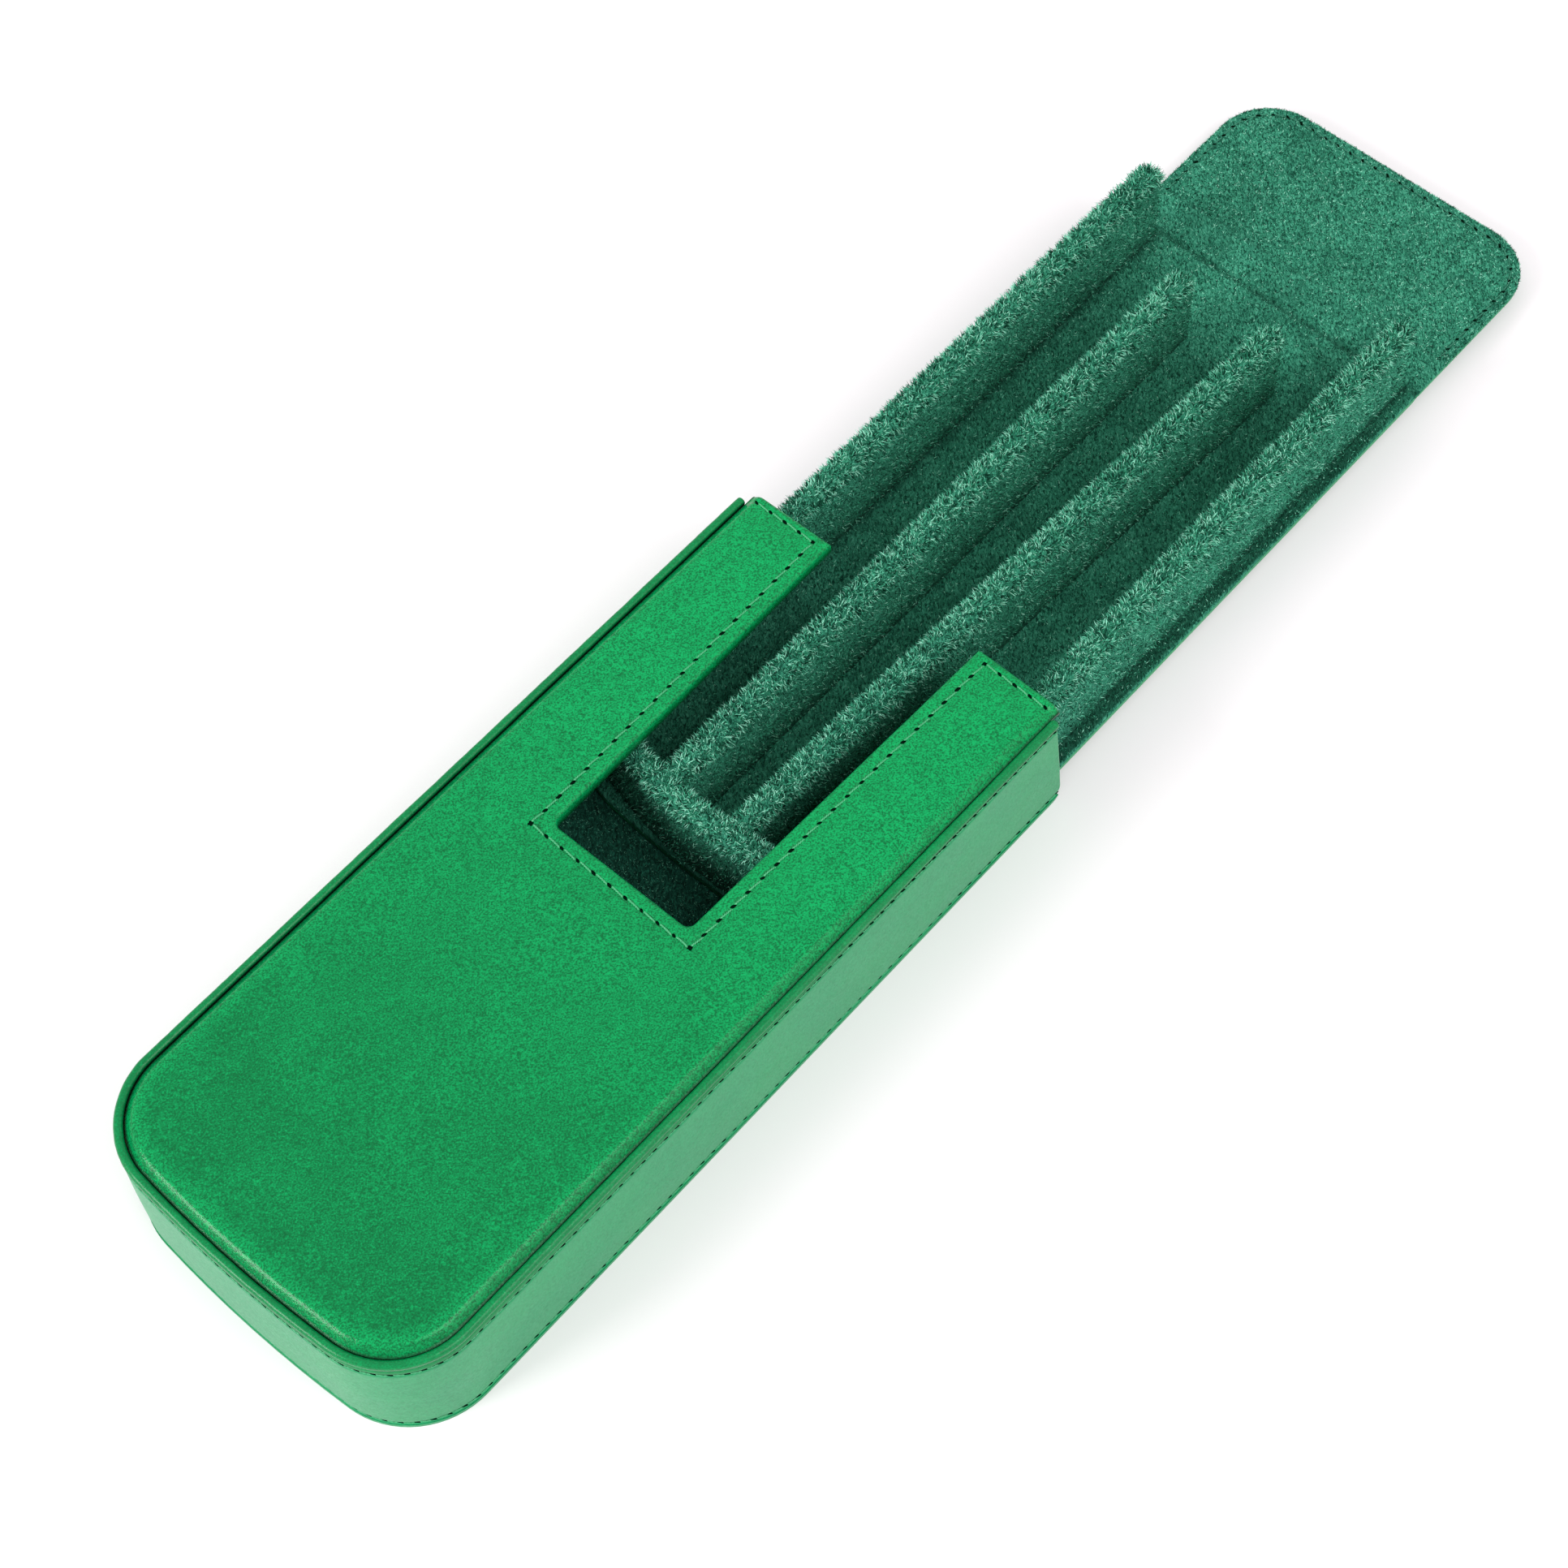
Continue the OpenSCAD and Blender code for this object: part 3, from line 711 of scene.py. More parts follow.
def top_edges(s):
    """The padded top's outer edge and the cut-away's edge, point for point, each followed by
    its normals. The cut-away's side lies beside the arm, its corner opposite the body's side
    and corner, and its inner end opposite the bow."""
    plan = top_plan(s)
    corner_x, _ = corner_place(plan)
    start = MOUTH_X - s.notch_len
    centre = start + s.notch_r, s.notch_inner - s.notch_r
    near_mouth = join([quarter(s.roll_r, 5), mm(1.2, 1.45, 1.7, 1.95, 2.3, 2.8)])
    arm_x = join([MOUTH_X - near_mouth, spaced(MOUTH_X - 3.5 * MM, centre[0], 1.1 * MM)])
    side_x = join([arm_x, spaced(centre[0], corner_x, 1.2 * MM)[1:]])
    outer, outward = u_plan(plan, side_x, 0.9 * MM)
    half = len(outer) // 2 + 1
    outer, outward = outer[:half], outward[:half]
    behind = (outer[:, 0] < corner_x) & (outer[:, 1] < 0.55 * TOP_HIGH[1])
    n_arm, n_end = len(arm_x), int(behind.sum())
    run = run_along(outer)
    around = run[n_arm:-n_end] - run[n_arm - 1]
    turn = np.pi / 2 + around / (run[-n_end] - run[n_arm - 1]) * np.pi / 2
    arc = columns([np.cos(turn), np.sin(turn)])
    end_y = centre[1] * outer[-n_end:, 1] / outer[-n_end, 1]
    end = columns([np.full(n_end, start), end_y])
    inner = join([columns([arm_x, notch_half_width(arm_x, s)]), centre + s.notch_r * arc, end])
    slope = (s.notch_mouth - s.notch_inner) / (s.notch_len - s.notch_r + MM)
    beside = np.array([-slope, 1]) / math.hypot(slope, 1)
    away = join([np.tile(beside, (n_arm, 1)), arc, np.tile([-1.0, 0.0], (n_end, 1))])
    # Beside the mouth the offset stays square to it, so that the arm ends on one line
    away[: len(near_mouth) + 1] = 0, 1
    return map(both_sides, (outer, outward, inner, away))


def top_places(s):
    """The padded top's grid in plan: over the shoulder, across the crown and down to the
    cut-away, with finer cells where the shape bends."""
    outer, outward, inner, away = top_edges(s)
    shares = np.array([0, 0.25, 0.5, 0.65, 0.78, 0.88, 0.97, 1.06, 1.16, 1.3, 1.5, 1.9])
    bank = s.gap + shares * (s.shoulder_h / s.bank)
    shoulder = join([[0, s.gap * 0.9], bank, [s.shoulder_w, s.shoulder_w + MM]])
    behind_seam = mm(1.2, 1.6, 1.95, 2.2, 2.4, 2.6, 2.8, 3, 3.25, 3.7, 4.3, 5.1, 6, 7)
    rim = join([quarter(s.roll_r, 6), behind_seam])
    from_outer = outer[:, None] - shoulder[None, :, None] * outward[:, None]
    from_inner = inner[:, None] + rim[None, ::-1, None] * away[:, None]
    share = np.linspace(0, 1, 46)[1:-1][None, :, None]
    middle = from_outer[:, -1:] * (1 - share) + from_inner[:, :1] * share
    return join([from_outer, middle, from_inner], axis=1)


class CASE_OT_padded_top(bpy.types.Operator):
    """Padded leather top: a band from the outer edge to the cut-away's edge"""

    bl_idname = "pen_case.padded_top"
    bl_label = "Padded top"

    def execute(self, context):
        s = context.scene.case_sleeve
        xy = top_places(s)
        x, y = xy[..., 0], xy[..., 1]
        z, pressed = top_shape(x, y, s)
        notch, mouth = notch_distance(x, y, s), MOUTH_X - x
        outside = plan_inset(x, y, top_plan(s))
        skin, least = mm(0.8, 0.05)
        covers = np.minimum(np.minimum(notch, outside), mouth) > skin
        under = np.where(covers, TOP_LOW[2] + 0.62 * MM, TOP_LOW[2])
        under = np.where((notch < skin) | (mouth < skin), WALL_HIGH[2] + least, under)
        bottom = lifted(xy, np.minimum(under, z - least))
        grid = join([lifted(xy, z), bottom[:, ::-1]], axis=1)
        # The shoulder and the turned edges are stretched, and the top also gets evenly lighter
        # from the closed end to the arms beside the cut-away
        from_end = 0.85 * ramp(x - CLOSED_X - 8 * MM, 120)
        bent = 0.6 * hump(outside - 2 * MM, 1.6)
        fields = {
            "pale": np.maximum.reduce([0.45 * pressed, bent, 0.5 * hump(notch, 0.8), from_end]),
            # Painted shade in the groove between the top's edge and the piping
            "shade": 0.8 * (1 - ramp(outside - 0.05 * MM, 0.3)),
            "polish": hump(outside - s.gap - s.shoulder_h / s.bank, 0.8),
        }
        fields = {key: swept_values(doubled(values)) for key, values in fields.items()}
        leather = finish("pull_up_leather_polished")
        parts = closed_sweep(grid)
        piece = make_piece("padded_top", parts, "sleeve", "cover_leather", leather, **fields)
        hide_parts("top_leather", "top_padding")
        return {"FINISHED"}


# ---- Piping and wall ----


def bead_surface(s):
    """The piping's grid, round its cord and along the sleeve, and how shaded it is."""
    r, end, turned = s.bead_r, MOUTH_X - s.mouth_slant, 0.35 * MM
    plan = HALF_W - r, s.corner_r - r, s.bow_r - r, CLOSED_X + r
    corner_x, _ = corner_place(plan)
    side_x = join([end - quarter(turned, 3), spaced(end - 0.8 * MM, corner_x, 0.5 * MM)])
    points, normals = u_plan(plan, side_x, 0.45 * MM)
    # The bead is open below, where its foot is a share of its radius wide
    foot = 0.7
    turn = np.linspace(-math.acos(foot), math.pi + math.acos(foot), 18)
    out = join([[foot * r], r * np.cos(turn), [-foot * r]])
    top = WALL_HIGH[2]
    up = join([[0], s.bead_z - top + r * np.sin(turn), [0]]) + top
    # At its ends the strip is turned in over the cord
    ends = np.minimum(end - points[:, 0], turned)
    shrink = (1 - rounded(ends, turned) / r)[:, None]
    grid = swept(points, normals, out * shrink, s.bead_z + (up - s.bead_z) * shrink)
    lift = waves(grid * [1, 1, 0.25], (0.028, 0.8, 11)) + waves(grid, (0.035, 6, 12))
    grid[:, 1:-1] += (grid_normals(grid) * (lift * MM)[..., None])[:, 1:-1]
    # Painted shade on the bead's lower inner side, which faces the groove
    shade = smooth((-out / r - 0.35) / 0.4) * smooth((0.75 - (up - s.bead_z) / r) / 0.5)
    return grid, np.broadcast_to(shade, grid.shape[:2])


class CASE_OT_piping(bpy.types.Operator):
    """Piping: a leather strip turned round a cord, with fine wrinkles across it"""

    bl_idname = "pen_case.piping"
    bl_label = "Piping"

    def execute(self, context):
        grid, shade = bead_surface(context.scene.case_sleeve)
        leather, parts = finish("pull_up_leather_piping"), closed_sweep(grid)
        shade = swept_values(shade)
        piece = make_piece("piping_bead", parts, "sleeve", "piping_leather", leather, shade=shade)
        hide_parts("piping_leather")
        return {"FINISHED"}


def sleeve_plan(s):
    """The plan of the sleeve's outside."""
    return HALF_W, s.corner_r, s.bow_r, CLOSED_X


def band_seam_height(x, s):
    """Height of the wall's upper seam: it sinks a little from the mouth to the closed end."""
    rise = s.band_seam_mouth - s.band_seam_end
    return s.band_seam_end + rise * ramp(x + 40 * MM, 115)


def mouth_setback(z, s):
    """How far the wall's mouth edge lies behind the mouth at a height: along a quarter-round
    up to the corner's radius, and above it along a straight slant."""
    r = s.mouth_corner_r
    slant = s.mouth_slant * (z - r) / (WALL_HIGH[2] - r)
    return np.where(z < r, rounded(z, r), slant)


def band_surface(s):
    """The side wall's grid, whose columns run up its outer face and down its inner one, and
    how pale and how shaded its outer face is."""
    plan = sleeve_plan(s)
    high, roll = WALL_HIGH[2], 0.8 * MM
    edge_x = MOUTH_X - np.append(quarter(roll, 6), roll + 0.04 * MM)
    side_x = join([edge_x, spaced(MOUTH_X - 1.6 * MM, corner_place(plan)[0], MM)])
    points, normals = u_plan(plan, side_x, 0.8 * MM)
    seam = band_seam_height(points[:, 0], s)[:, None]
    at_foot = mm(0, 0.25, 0.6, 0.95, 1.2, 1.5, 1.8, 2.1, 2.5, 3.2)
    steps = join([at_foot, np.linspace(4.2, 20.6, 16) * MM]) + 0.05 * MM
    up_seam = seam + mm(-1.0, -0.55, -0.3, -0.12, 0, 0.12, 0.3, 0.55)
    up_lip = up_seam[:, -1:] + (high - up_seam[:, -1:]) * np.linspace(0.3, 1, 5)
    up_low = np.broadcast_to(steps, (len(points), len(steps)))
    up = join([up_low, up_seam, up_lip], axis=1)
    # The wall swells slightly between its seams, dips at each and rolls in at the foot;
    # above the upper seam the lip under the piping leans back
    middle = (up - s.foot_seam) / (seam - s.foot_seam)
    lean = np.clip((up - seam) / (high - seam), 0, 1)
    swell, dip, lip_lean = mm(0.12, 0.3, 0.75)
    out = swell * np.sin(np.pi * np.clip(middle, 0, 1)) - lip_lean * lean**2
    out = out - dip * hump(up - seam, 0.28) - dip * hump(up - s.foot_seam, 0.35)
    out = out - rounded(up, roll) - 0.1 * MM
    # Painted light: above the upper seam the lip, which faces up like the top, takes the top's
    # green in place of the wall's colour
    pale = ramp(up - seam, 0.2)
    # Painted shade in the upper seam's dip and along the foot where the wall meets the floor
    shade = 0.75 * hump(up - seam, 0.25)
    shade = np.maximum(shade, 0.8 * (1 - ramp(up, 0.7)))
    # Inside it lies on the board, and at the mouth it turns in over board and lining;
    # there both faces close on a line, so that the edge is round
    from_mouth = (MOUTH_X - points[:, 0])[:, None]
    turned_in, on_board, line = mm(-2.1, -0.8, -1.1)
    inside = np.where(from_mouth < roll + 0.01 * MM, turned_in, on_board)
    n_out = up.shape[1]
    out = join([out, np.broadcast_to(inside, out.shape)], axis=1)
    out = line + (out - line) * (1 - rounded(np.minimum(from_mouth, roll), roll) / roll)
    grid = swept(points, normals, out, doubled(up))
    wave = waves(grid * [1, 1, 1.5], (0.06, 14, 21)) + waves(grid, (0.02, 4, 22))
    wave = wave * MM * ramp(from_mouth, 4)
    grid[:, :n_out] += (flat_normals(normals)[:, None] * wave[..., None])[:, :n_out]
    # Towards the mouth the columns are drawn back to its slanted edge
    near_mouth = np.clip((grid[..., 0] - MOUTH_X) / (20 * MM) + 1, 0, 1)
    grid[..., 0] -= mouth_setback(grid[..., 2], s) * near_mouth
    return grid, pale, shade


class CASE_OT_side_band(bpy.types.Operator):
    """Side wall: one leather band round the sleeve, turned in at the mouth"""

    bl_idname = "pen_case.side_band"
    bl_label = "Side band"

    def execute(self, context):
        grid, pale, shade = band_surface(context.scene.case_sleeve)
        fields = {"pale": swept_values(doubled(pale)), "shade": swept_values(doubled(shade))}
        leather, parts = finish("pull_up_leather_wall"), closed_sweep(grid)
        piece = make_piece("side_band", parts, "sleeve", "cover_leather", leather, **fields)
        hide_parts("side_leather")
        return {"FINISHED"}


# ---- Tray and flap ----

# Distances inwards from a skin's edge at which its grid has rows
INSETS = mm(0, 0.02, 0.07, 0.15, 0.26, 0.4, 0.49, 0.52, 0.9, 1.3, 1.55, 1.8, 1.97, 2.03, 2.3, 2.8)
# Length over which a covered wall narrows at its free end
NARROWING = 1.3 * MM
# Grids of the suede's surfaces, kept for the nap
SURFACES = {}


def plate(points, normals, rows, heights):
    """Parts of a flat plate, and its upper grid. The grid runs from each edge point inwards by
    the insets, then evenly to the plan's middle line, where the rounded end's rows fan out
    from one point. heights(x, y) gives its top and bottom, and the rim joins them."""
    near = points[:, None] - INSETS[None, :, None] * normals[:, None]
    share = np.linspace(0, 1, rows)[1:][None, :, None]
    aim_x = np.maximum(points[:, 0], points[:, 0].min() + 16 * MM)
    aim = columns([aim_x, np.zeros(len(points))])[:, None]
    xy = join([near, near[:, -1:] * (1 - share) + aim * share], axis=1)
    upper, lower = (lifted(xy, z) for z in heights(xy[..., 0], xy[..., 1]))
    rim = np.stack([upper[:, 0], lower[:, 0]], axis=1)
    ends = np.stack([lower[0], upper[0]]), np.stack([upper[-1], lower[-1]])
    parts = [sheet_part(upper), sheet_part(lower, True), sheet_part(rim, True)]
    return parts + [sheet_part(end) for end in ends], upper


def flap_plan(s):
    """The flap's plan, mirrored along X; its end is straight, so its bow is very flat."""
    return FLOOR_HIGH[1], s.flap_corner_r, 1.0e3, -TIP_X


def tray_heights(x, y, s, layer):
    """Top and bottom of the suede or the leather over tray floor and flap. The flap is
    thinner, so its underside steps up across the crease, where both skins dip."""
    on_tray, on_flap = plan_inset(x, y, TRAY_PLAN), plan_inset(-x, y, flap_plan(s))
    edge = np.where(x > CREASE_X - 60 * MM, on_flap, on_tray)
    crease = hump(x - CREASE_X, 0.7)
    place = np.stack([x, y, np.zeros_like(x)], axis=-1)
    if layer == "suede":
        lumps = s.lumps * waves(place, (0.6, 1.3, 31), (0.4, 5, 32))
        seam = hump(on_flap - s.flap_seam, 0.4) * ramp(x - SPLIT_X, 2)
        top = TRAY_TOP + lumps * 0.5 - rounded(edge, 0.4 * MM) - s.crease * crease
        return top - 0.18 * MM * seam, TRAY_TOP - s.suede_t - 0.1 * MM - s.crease * crease
    step = smooth((x - CREASE_X) / (2 * MM) + 0.5)
    rim = 0.5 * MM + (s.rim_w - 0.5 * MM) * step
    base = TRAY_BOTTOM + (FLAP_BOTTOM - TRAY_BOTTOM) * step
    bottom = base + rounded(edge, 0.45 * MM) + 0.25 * MM * crease
    bottom = bottom + 0.03 * MM * soft_noise(place, 9 * MM, 33)
    top = np.where(edge < rim, TRAY_TOP - s.suede_t - 0.05 * MM, base + s.leather_t)
    return top - rounded(edge, 0.15 * MM), bottom


def tray_outline():
    """Edge of the tray floor from the middle of the riser round the tray's inner end."""
    before = spaced(SPLIT_X, CREASE_X + 2.4 * MM, 0.9 * MM)
    at_crease = spaced(CREASE_X + 2 * MM, CREASE_X - 2 * MM, 0.25 * MM)
    beyond = spaced(CREASE_X - 2.8 * MM, FLOOR_LOW[0] + 14 * MM, 0.9 * MM)
    side_x = join([before, at_crease, beyond])
    corner_x, _ = corner_place(TRAY_PLAN)
    side_x = join([side_x[side_x > corner_x + 0.4 * MM], [corner_x]])
    return u_plan(TRAY_PLAN, side_x, 0.9 * MM)


def flap_outline(s):
    """Edge of the flap, mirrored along X, from the middle of the riser round its free end."""
    plan = flap_plan(s)
    return u_plan(plan, -spaced(SPLIT_X, -corner_place(plan)[0], 0.7 * MM), 0.7 * MM)


def floor_shade(points, s):
    """Painted shade on the floor's skins: at the feet of the walls, between a side wall and the
    floor's edge, and in the crease before the flap."""
    x, y = points[:, 0], np.abs(points[:, 1])
    foot = np.abs(y - (RIDGE_HIGH[1] - s.wall_t / 2)) - s.wall_t / 2
    past = x - RIDGE_HIGH[0]
    foot = np.where(past < 0, np.clip(foot, 0, None), np.hypot(foot, past))
    outside = 0.62 * ramp(y - RIDGE_HIGH[1], 0.4) * ramp(-past, 14)
    edge = ramp(FLOOR_HIGH[1] - y, 0.6)
    near = np.maximum(0.8 * np.exp(-foot / (0.9 * MM)), outside) * edge
    # Behind the end wall hardly any light falls in under the sleeve's top
    behind = 0.92 * ramp(RIDGE_LOW[0] + 1.5 * MM - x, 3)
    return np.maximum.reduce([near, 0.5 * hump(x - CREASE_X, 0.7), behind])


class CASE_OT_floor_and_flap(bpy.types.Operator):
    """Suede and leather skins that run over the tray floor, the crease and the flap"""

    bl_idname = "pen_case.floor_and_flap"
    bl_label = "Floor and flap"

    def execute(self, context):
        s = context.scene.case_tray
        nodes = {
            ("tray", "suede"): ("tray_floor_suede", "flap_riser_suede"),
            ("tray", "leather"): ("tray_floor_leather", "flap_riser_leather"),
            ("flap", "suede"): ("flap_tongue_suede",),
            ("flap", "leather"): ("flap_tongue_leather",),
        }
        sides = (
            ("tray", TRAY_FOLD, tray_outline(), 1),
            ("flap", FLAP_FOLD, flap_outline(s), -1),
        )
        layers = (
            ("suede", 34, "split_suede_napped", "tray_suede"),
            ("leather", 12, "pull_up_leather_wall", "cover_leather"),
        )
        for side, fold, outline, facing in sides:
            for layer, rows, material, slot in layers:

                def heights(x, y):
                    return tray_heights(x * facing, y, s, layer)

                parts, upper = plate(*outline, rows, heights)
                parts = [(points * [facing, 1, 1], faces) for points, faces in parts]
                points = join([p for p, _ in parts])
                shade = floor_shade(points, s)
                if layer == "suede":
                    SURFACES[side] = upper * [facing, 1, 1]
                else:
                    # On the leather only the painted shade behind the end wall is kept
                    shade = shade * (points[:, 0] < RIDGE_LOW[0])
                name = f"{side}_{layer}_skin"
                piece = make_piece(name, parts, fold, slot, finish(material), shade=shade)
                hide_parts(*nodes[side, layer])
        return {"FINISHED"}


def ridge_grid(points, normals, ends, top_z, s):
    """A covered wall along a path: straight sides under a half-round ridge. Towards a free
    end the ridge sinks along a quarter-round, and the wall narrows along a smaller one.
    ends is each point's distance from the nearest free end."""
    half = s.wall_t / 2
    turn = np.linspace(0, math.pi, 16)
    width = (half - rounded(np.minimum(ends, NARROWING), NARROWING))[:, None]
    spring = (top_z - rounded(np.minimum(ends, s.ridge_end_r), s.ridge_end_r) - half)[:, None]
    foot = TRAY_TOP - 0.15 * MM
    side_up = foot + (spring - foot) * np.linspace(0, 1, 34)[None, :-1]
    side_out = np.broadcast_to(width, side_up.shape)
    out = join([side_out, width * np.cos(turn), -side_out], axis=1)
    up = join([side_up, spring + half * np.sin(turn), side_up[:, ::-1]], axis=1)
    grid = swept(points, normals, out, up)
    lumps = waves(grid, (0.55, 1.1, 41), (0.6, 3.2, 42), (0.9, 14, 43)) - 0.4
    return grid + grid_normals(grid) * (lumps * s.lumps)[..., None]


def make_ridge(name, grid):
    """A covered wall from its grid, with painted shade towards its foot, and more of it on the
    end wall's back, which faces the dark inside of the sleeve."""
    height = grid[..., 2] - TRAY_TOP
    shade = 0.85 * np.exp(-height / (2.2 * MM))
    back = ramp(RIDGE_LOW[0] + 1.6 * MM - grid[..., 0], 1.2)
    shade = swept_values(np.maximum(shade, 0.93 * back * hump(height, 10)))
    suede, parts = finish("split_suede_napped"), closed_sweep(grid)
    return make_piece(name, parts, "tray", "tray_suede", suede, shade=shade)


def ridge_places(far, near):
    """X along a covered wall from its free end."""
    return join([far - quarter(NARROWING, 5), spaced(far - 1.8 * MM, near, 0.55 * MM)])


class CASE_OT_tray_walls(bpy.types.Operator):
    """Suede-covered U-shaped wall and the two dividers"""

    bl_idname = "pen_case.tray_walls"
    bl_label = "Walls and dividers"

    def execute(self, context):
        s = context.scene.case_tray
        half_w, end_x = RIDGE_HIGH[1] - s.wall_t / 2, RIDGE_LOW[0] + s.wall_t / 2
        plan = half_w, s.wall_corner_r, s.wall_bow_r, end_x
        far = RIDGE_HIGH[0]
        points, normals = u_plan(plan, ridge_places(far, corner_place(plan)[0]), 0.5 * MM)
        grid = ridge_grid(points, normals, far - points[:, 0], RIDGE_HIGH[2], s)
        SURFACES["wall"] = grid
        piece = make_ridge("tray_wall_skin", grid)
        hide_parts("tray_wall_suede")
        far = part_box("left_divider_suede")[1][0]
        for side, near_y, far_y in (
            ("left", s.left_y, s.left_y),
            ("right", s.right_y_near, s.right_y_far),
        ):
            x = ridge_places(far, end_x + 1.6 * MM)
            slope = (far_y - near_y) / (far - end_x)
            points = columns([x, near_y + slope * (x - end_x)])
            normals = np.tile(np.array([-slope, 1]) / math.hypot(slope, 1), (len(x), 1))
            grid = ridge_grid(points, normals, far - x, RIDGE_HIGH[2] - s.divider_drop, s)
            SURFACES[f"{side}_divider"] = grid
            piece = make_ridge(f"{side}_divider_skin", grid)
            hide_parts(f"{side}_divider_suede")
        return {"FINISHED"}


# ---- Nap ----


def scatter(grid, count, rng, keep=None):
    """Random places on a grid, even by area: a cell is drawn by its area times its share in
    keep, and the place in it by two even numbers. Returns points and unit normals."""
    a, b, c, d = grid[:-1, :-1], grid[1:, :-1], grid[1:, 1:], grid[:-1, 1:]
    cross = np.cross(c - a, d - b)
    size = np.linalg.norm(cross, axis=-1)
    weight = size / 2 / MM**2 * count
    if keep is not None:
        weight = weight * keep((a + b + c + d) / 4)
    weight = weight.ravel()
    total = int(weight.sum())
    pick = np.searchsorted(np.cumsum(weight), rng.random(total) * weight.sum())
    pick = np.minimum(pick, weight.size - 1)
    u, v = rng.random((2, total, 1))
    a, b, c, d = (q.reshape(-1, 3)[pick] for q in (a, b, c, d))
    points = (a * (1 - u) + b * u) * (1 - v) + (d * (1 - u) + c * u) * v
    normals = (cross / np.maximum(size, 1e-15)[..., None]).reshape(-1, 3)[pick]
    return points, normals


def rings(first, second, turn):
    """Directions at angles that turn from each first direction to its second."""
    around = np.cos(turn)[None, :, None], np.sin(turn)[None, :, None]
    return around[0] * first[:, None] + around[1] * second[:, None]


def fibres(points, normals, style, rng):
    """Tapered three-sided fibres of a style: length, width, lean, brush and whether bent. Each
    starts under the surface and leans from the normal by a random part plus a part its tuft
    shares plus the brush direction; a bent one turns once more half way. Returns points, quads
    and triangles of closed shells."""
    long, wide, lean, brush, bent = style
    n, tuft_size, buried = len(points), 0.7 * MM, 0.12 * MM
    tuft = columns([soft_noise(points, tuft_size, seed) for seed in (41, 42, 43)])
    sideways = rng.normal(size=(n, 3)) * lean + np.asarray(brush) + tuft * 0.7
    upward = np.einsum("ij,ij->i", sideways, normals)[:, None]
    direction = unit(normals + sideways - normals * upward)
    size = long * rng.uniform(0.55, 1.25, (n, 1))
    first = unit(np.cross(direction, rng.normal(size=(n, 3))))
    ring = rings(first, np.cross(direction, first), np.array([0, 2, 4]) * math.pi / 3)
    ring = ring * (wide / 2 * rng.uniform(0.7, 1.3, (n, 1, 1)))
    root = points - direction * buried
    base = root[:, None] + ring
    if bent:
        bend = unit(direction + rng.normal(size=(n, 3)) * 0.45)
        middle = root + direction * size * 0.55
        tip = middle + bend * size * 0.5
        vertices = join([base, middle[:, None] + ring * 0.75, tip[:, None]], axis=1)
        quads = np.array([[0, 1, 4, 3], [1, 2, 5, 4], [2, 0, 3, 5]])
        tris = np.array([[0, 2, 1], [3, 4, 6], [4, 5, 6], [5, 3, 6]])
    else:
        vertices = join([base, (root + direction * size)[:, None]], axis=1)
        quads = np.empty((0, 4), int)
        tris = np.array([[0, 2, 1], [0, 1, 3], [1, 2, 3], [2, 0, 3]])
    faces = (repeated(shape, n, vertices.shape[1]) for shape in (quads, tris))
    return vertices.reshape(-1, 3), *faces


def nap_piece(name, places, body, shades, chances, style, rng, limit=None):
    """Fibres on given places, as one piece with a shade drawn for each fibre. None of them
    reaches above the limit."""
    points, normals = places
    vertices, quads, tris = fibres(points, normals, style, rng)
    if limit is not None:
        vertices[:, 2] = np.minimum(vertices[:, 2], limit)
    # Shades are shared out by rank, which is partly the tuft's and partly chance
    rank = rng.random(len(points)) + 0.4 * soft_noise(points, 0.6 * MM, 44)
    rank = np.argsort(np.argsort(rank)) / len(points)
    shade = np.searchsorted(np.cumsum(chances)[:-1], rank, side="right")
    per_fibre = [len(faces) // len(points) for faces in (quads, tris)]
    mesh = fill_mesh(name, vertices, quads, tris, [np.repeat(shade, k) for k in per_fibre])
    return place_piece(name, mesh, body, shades)


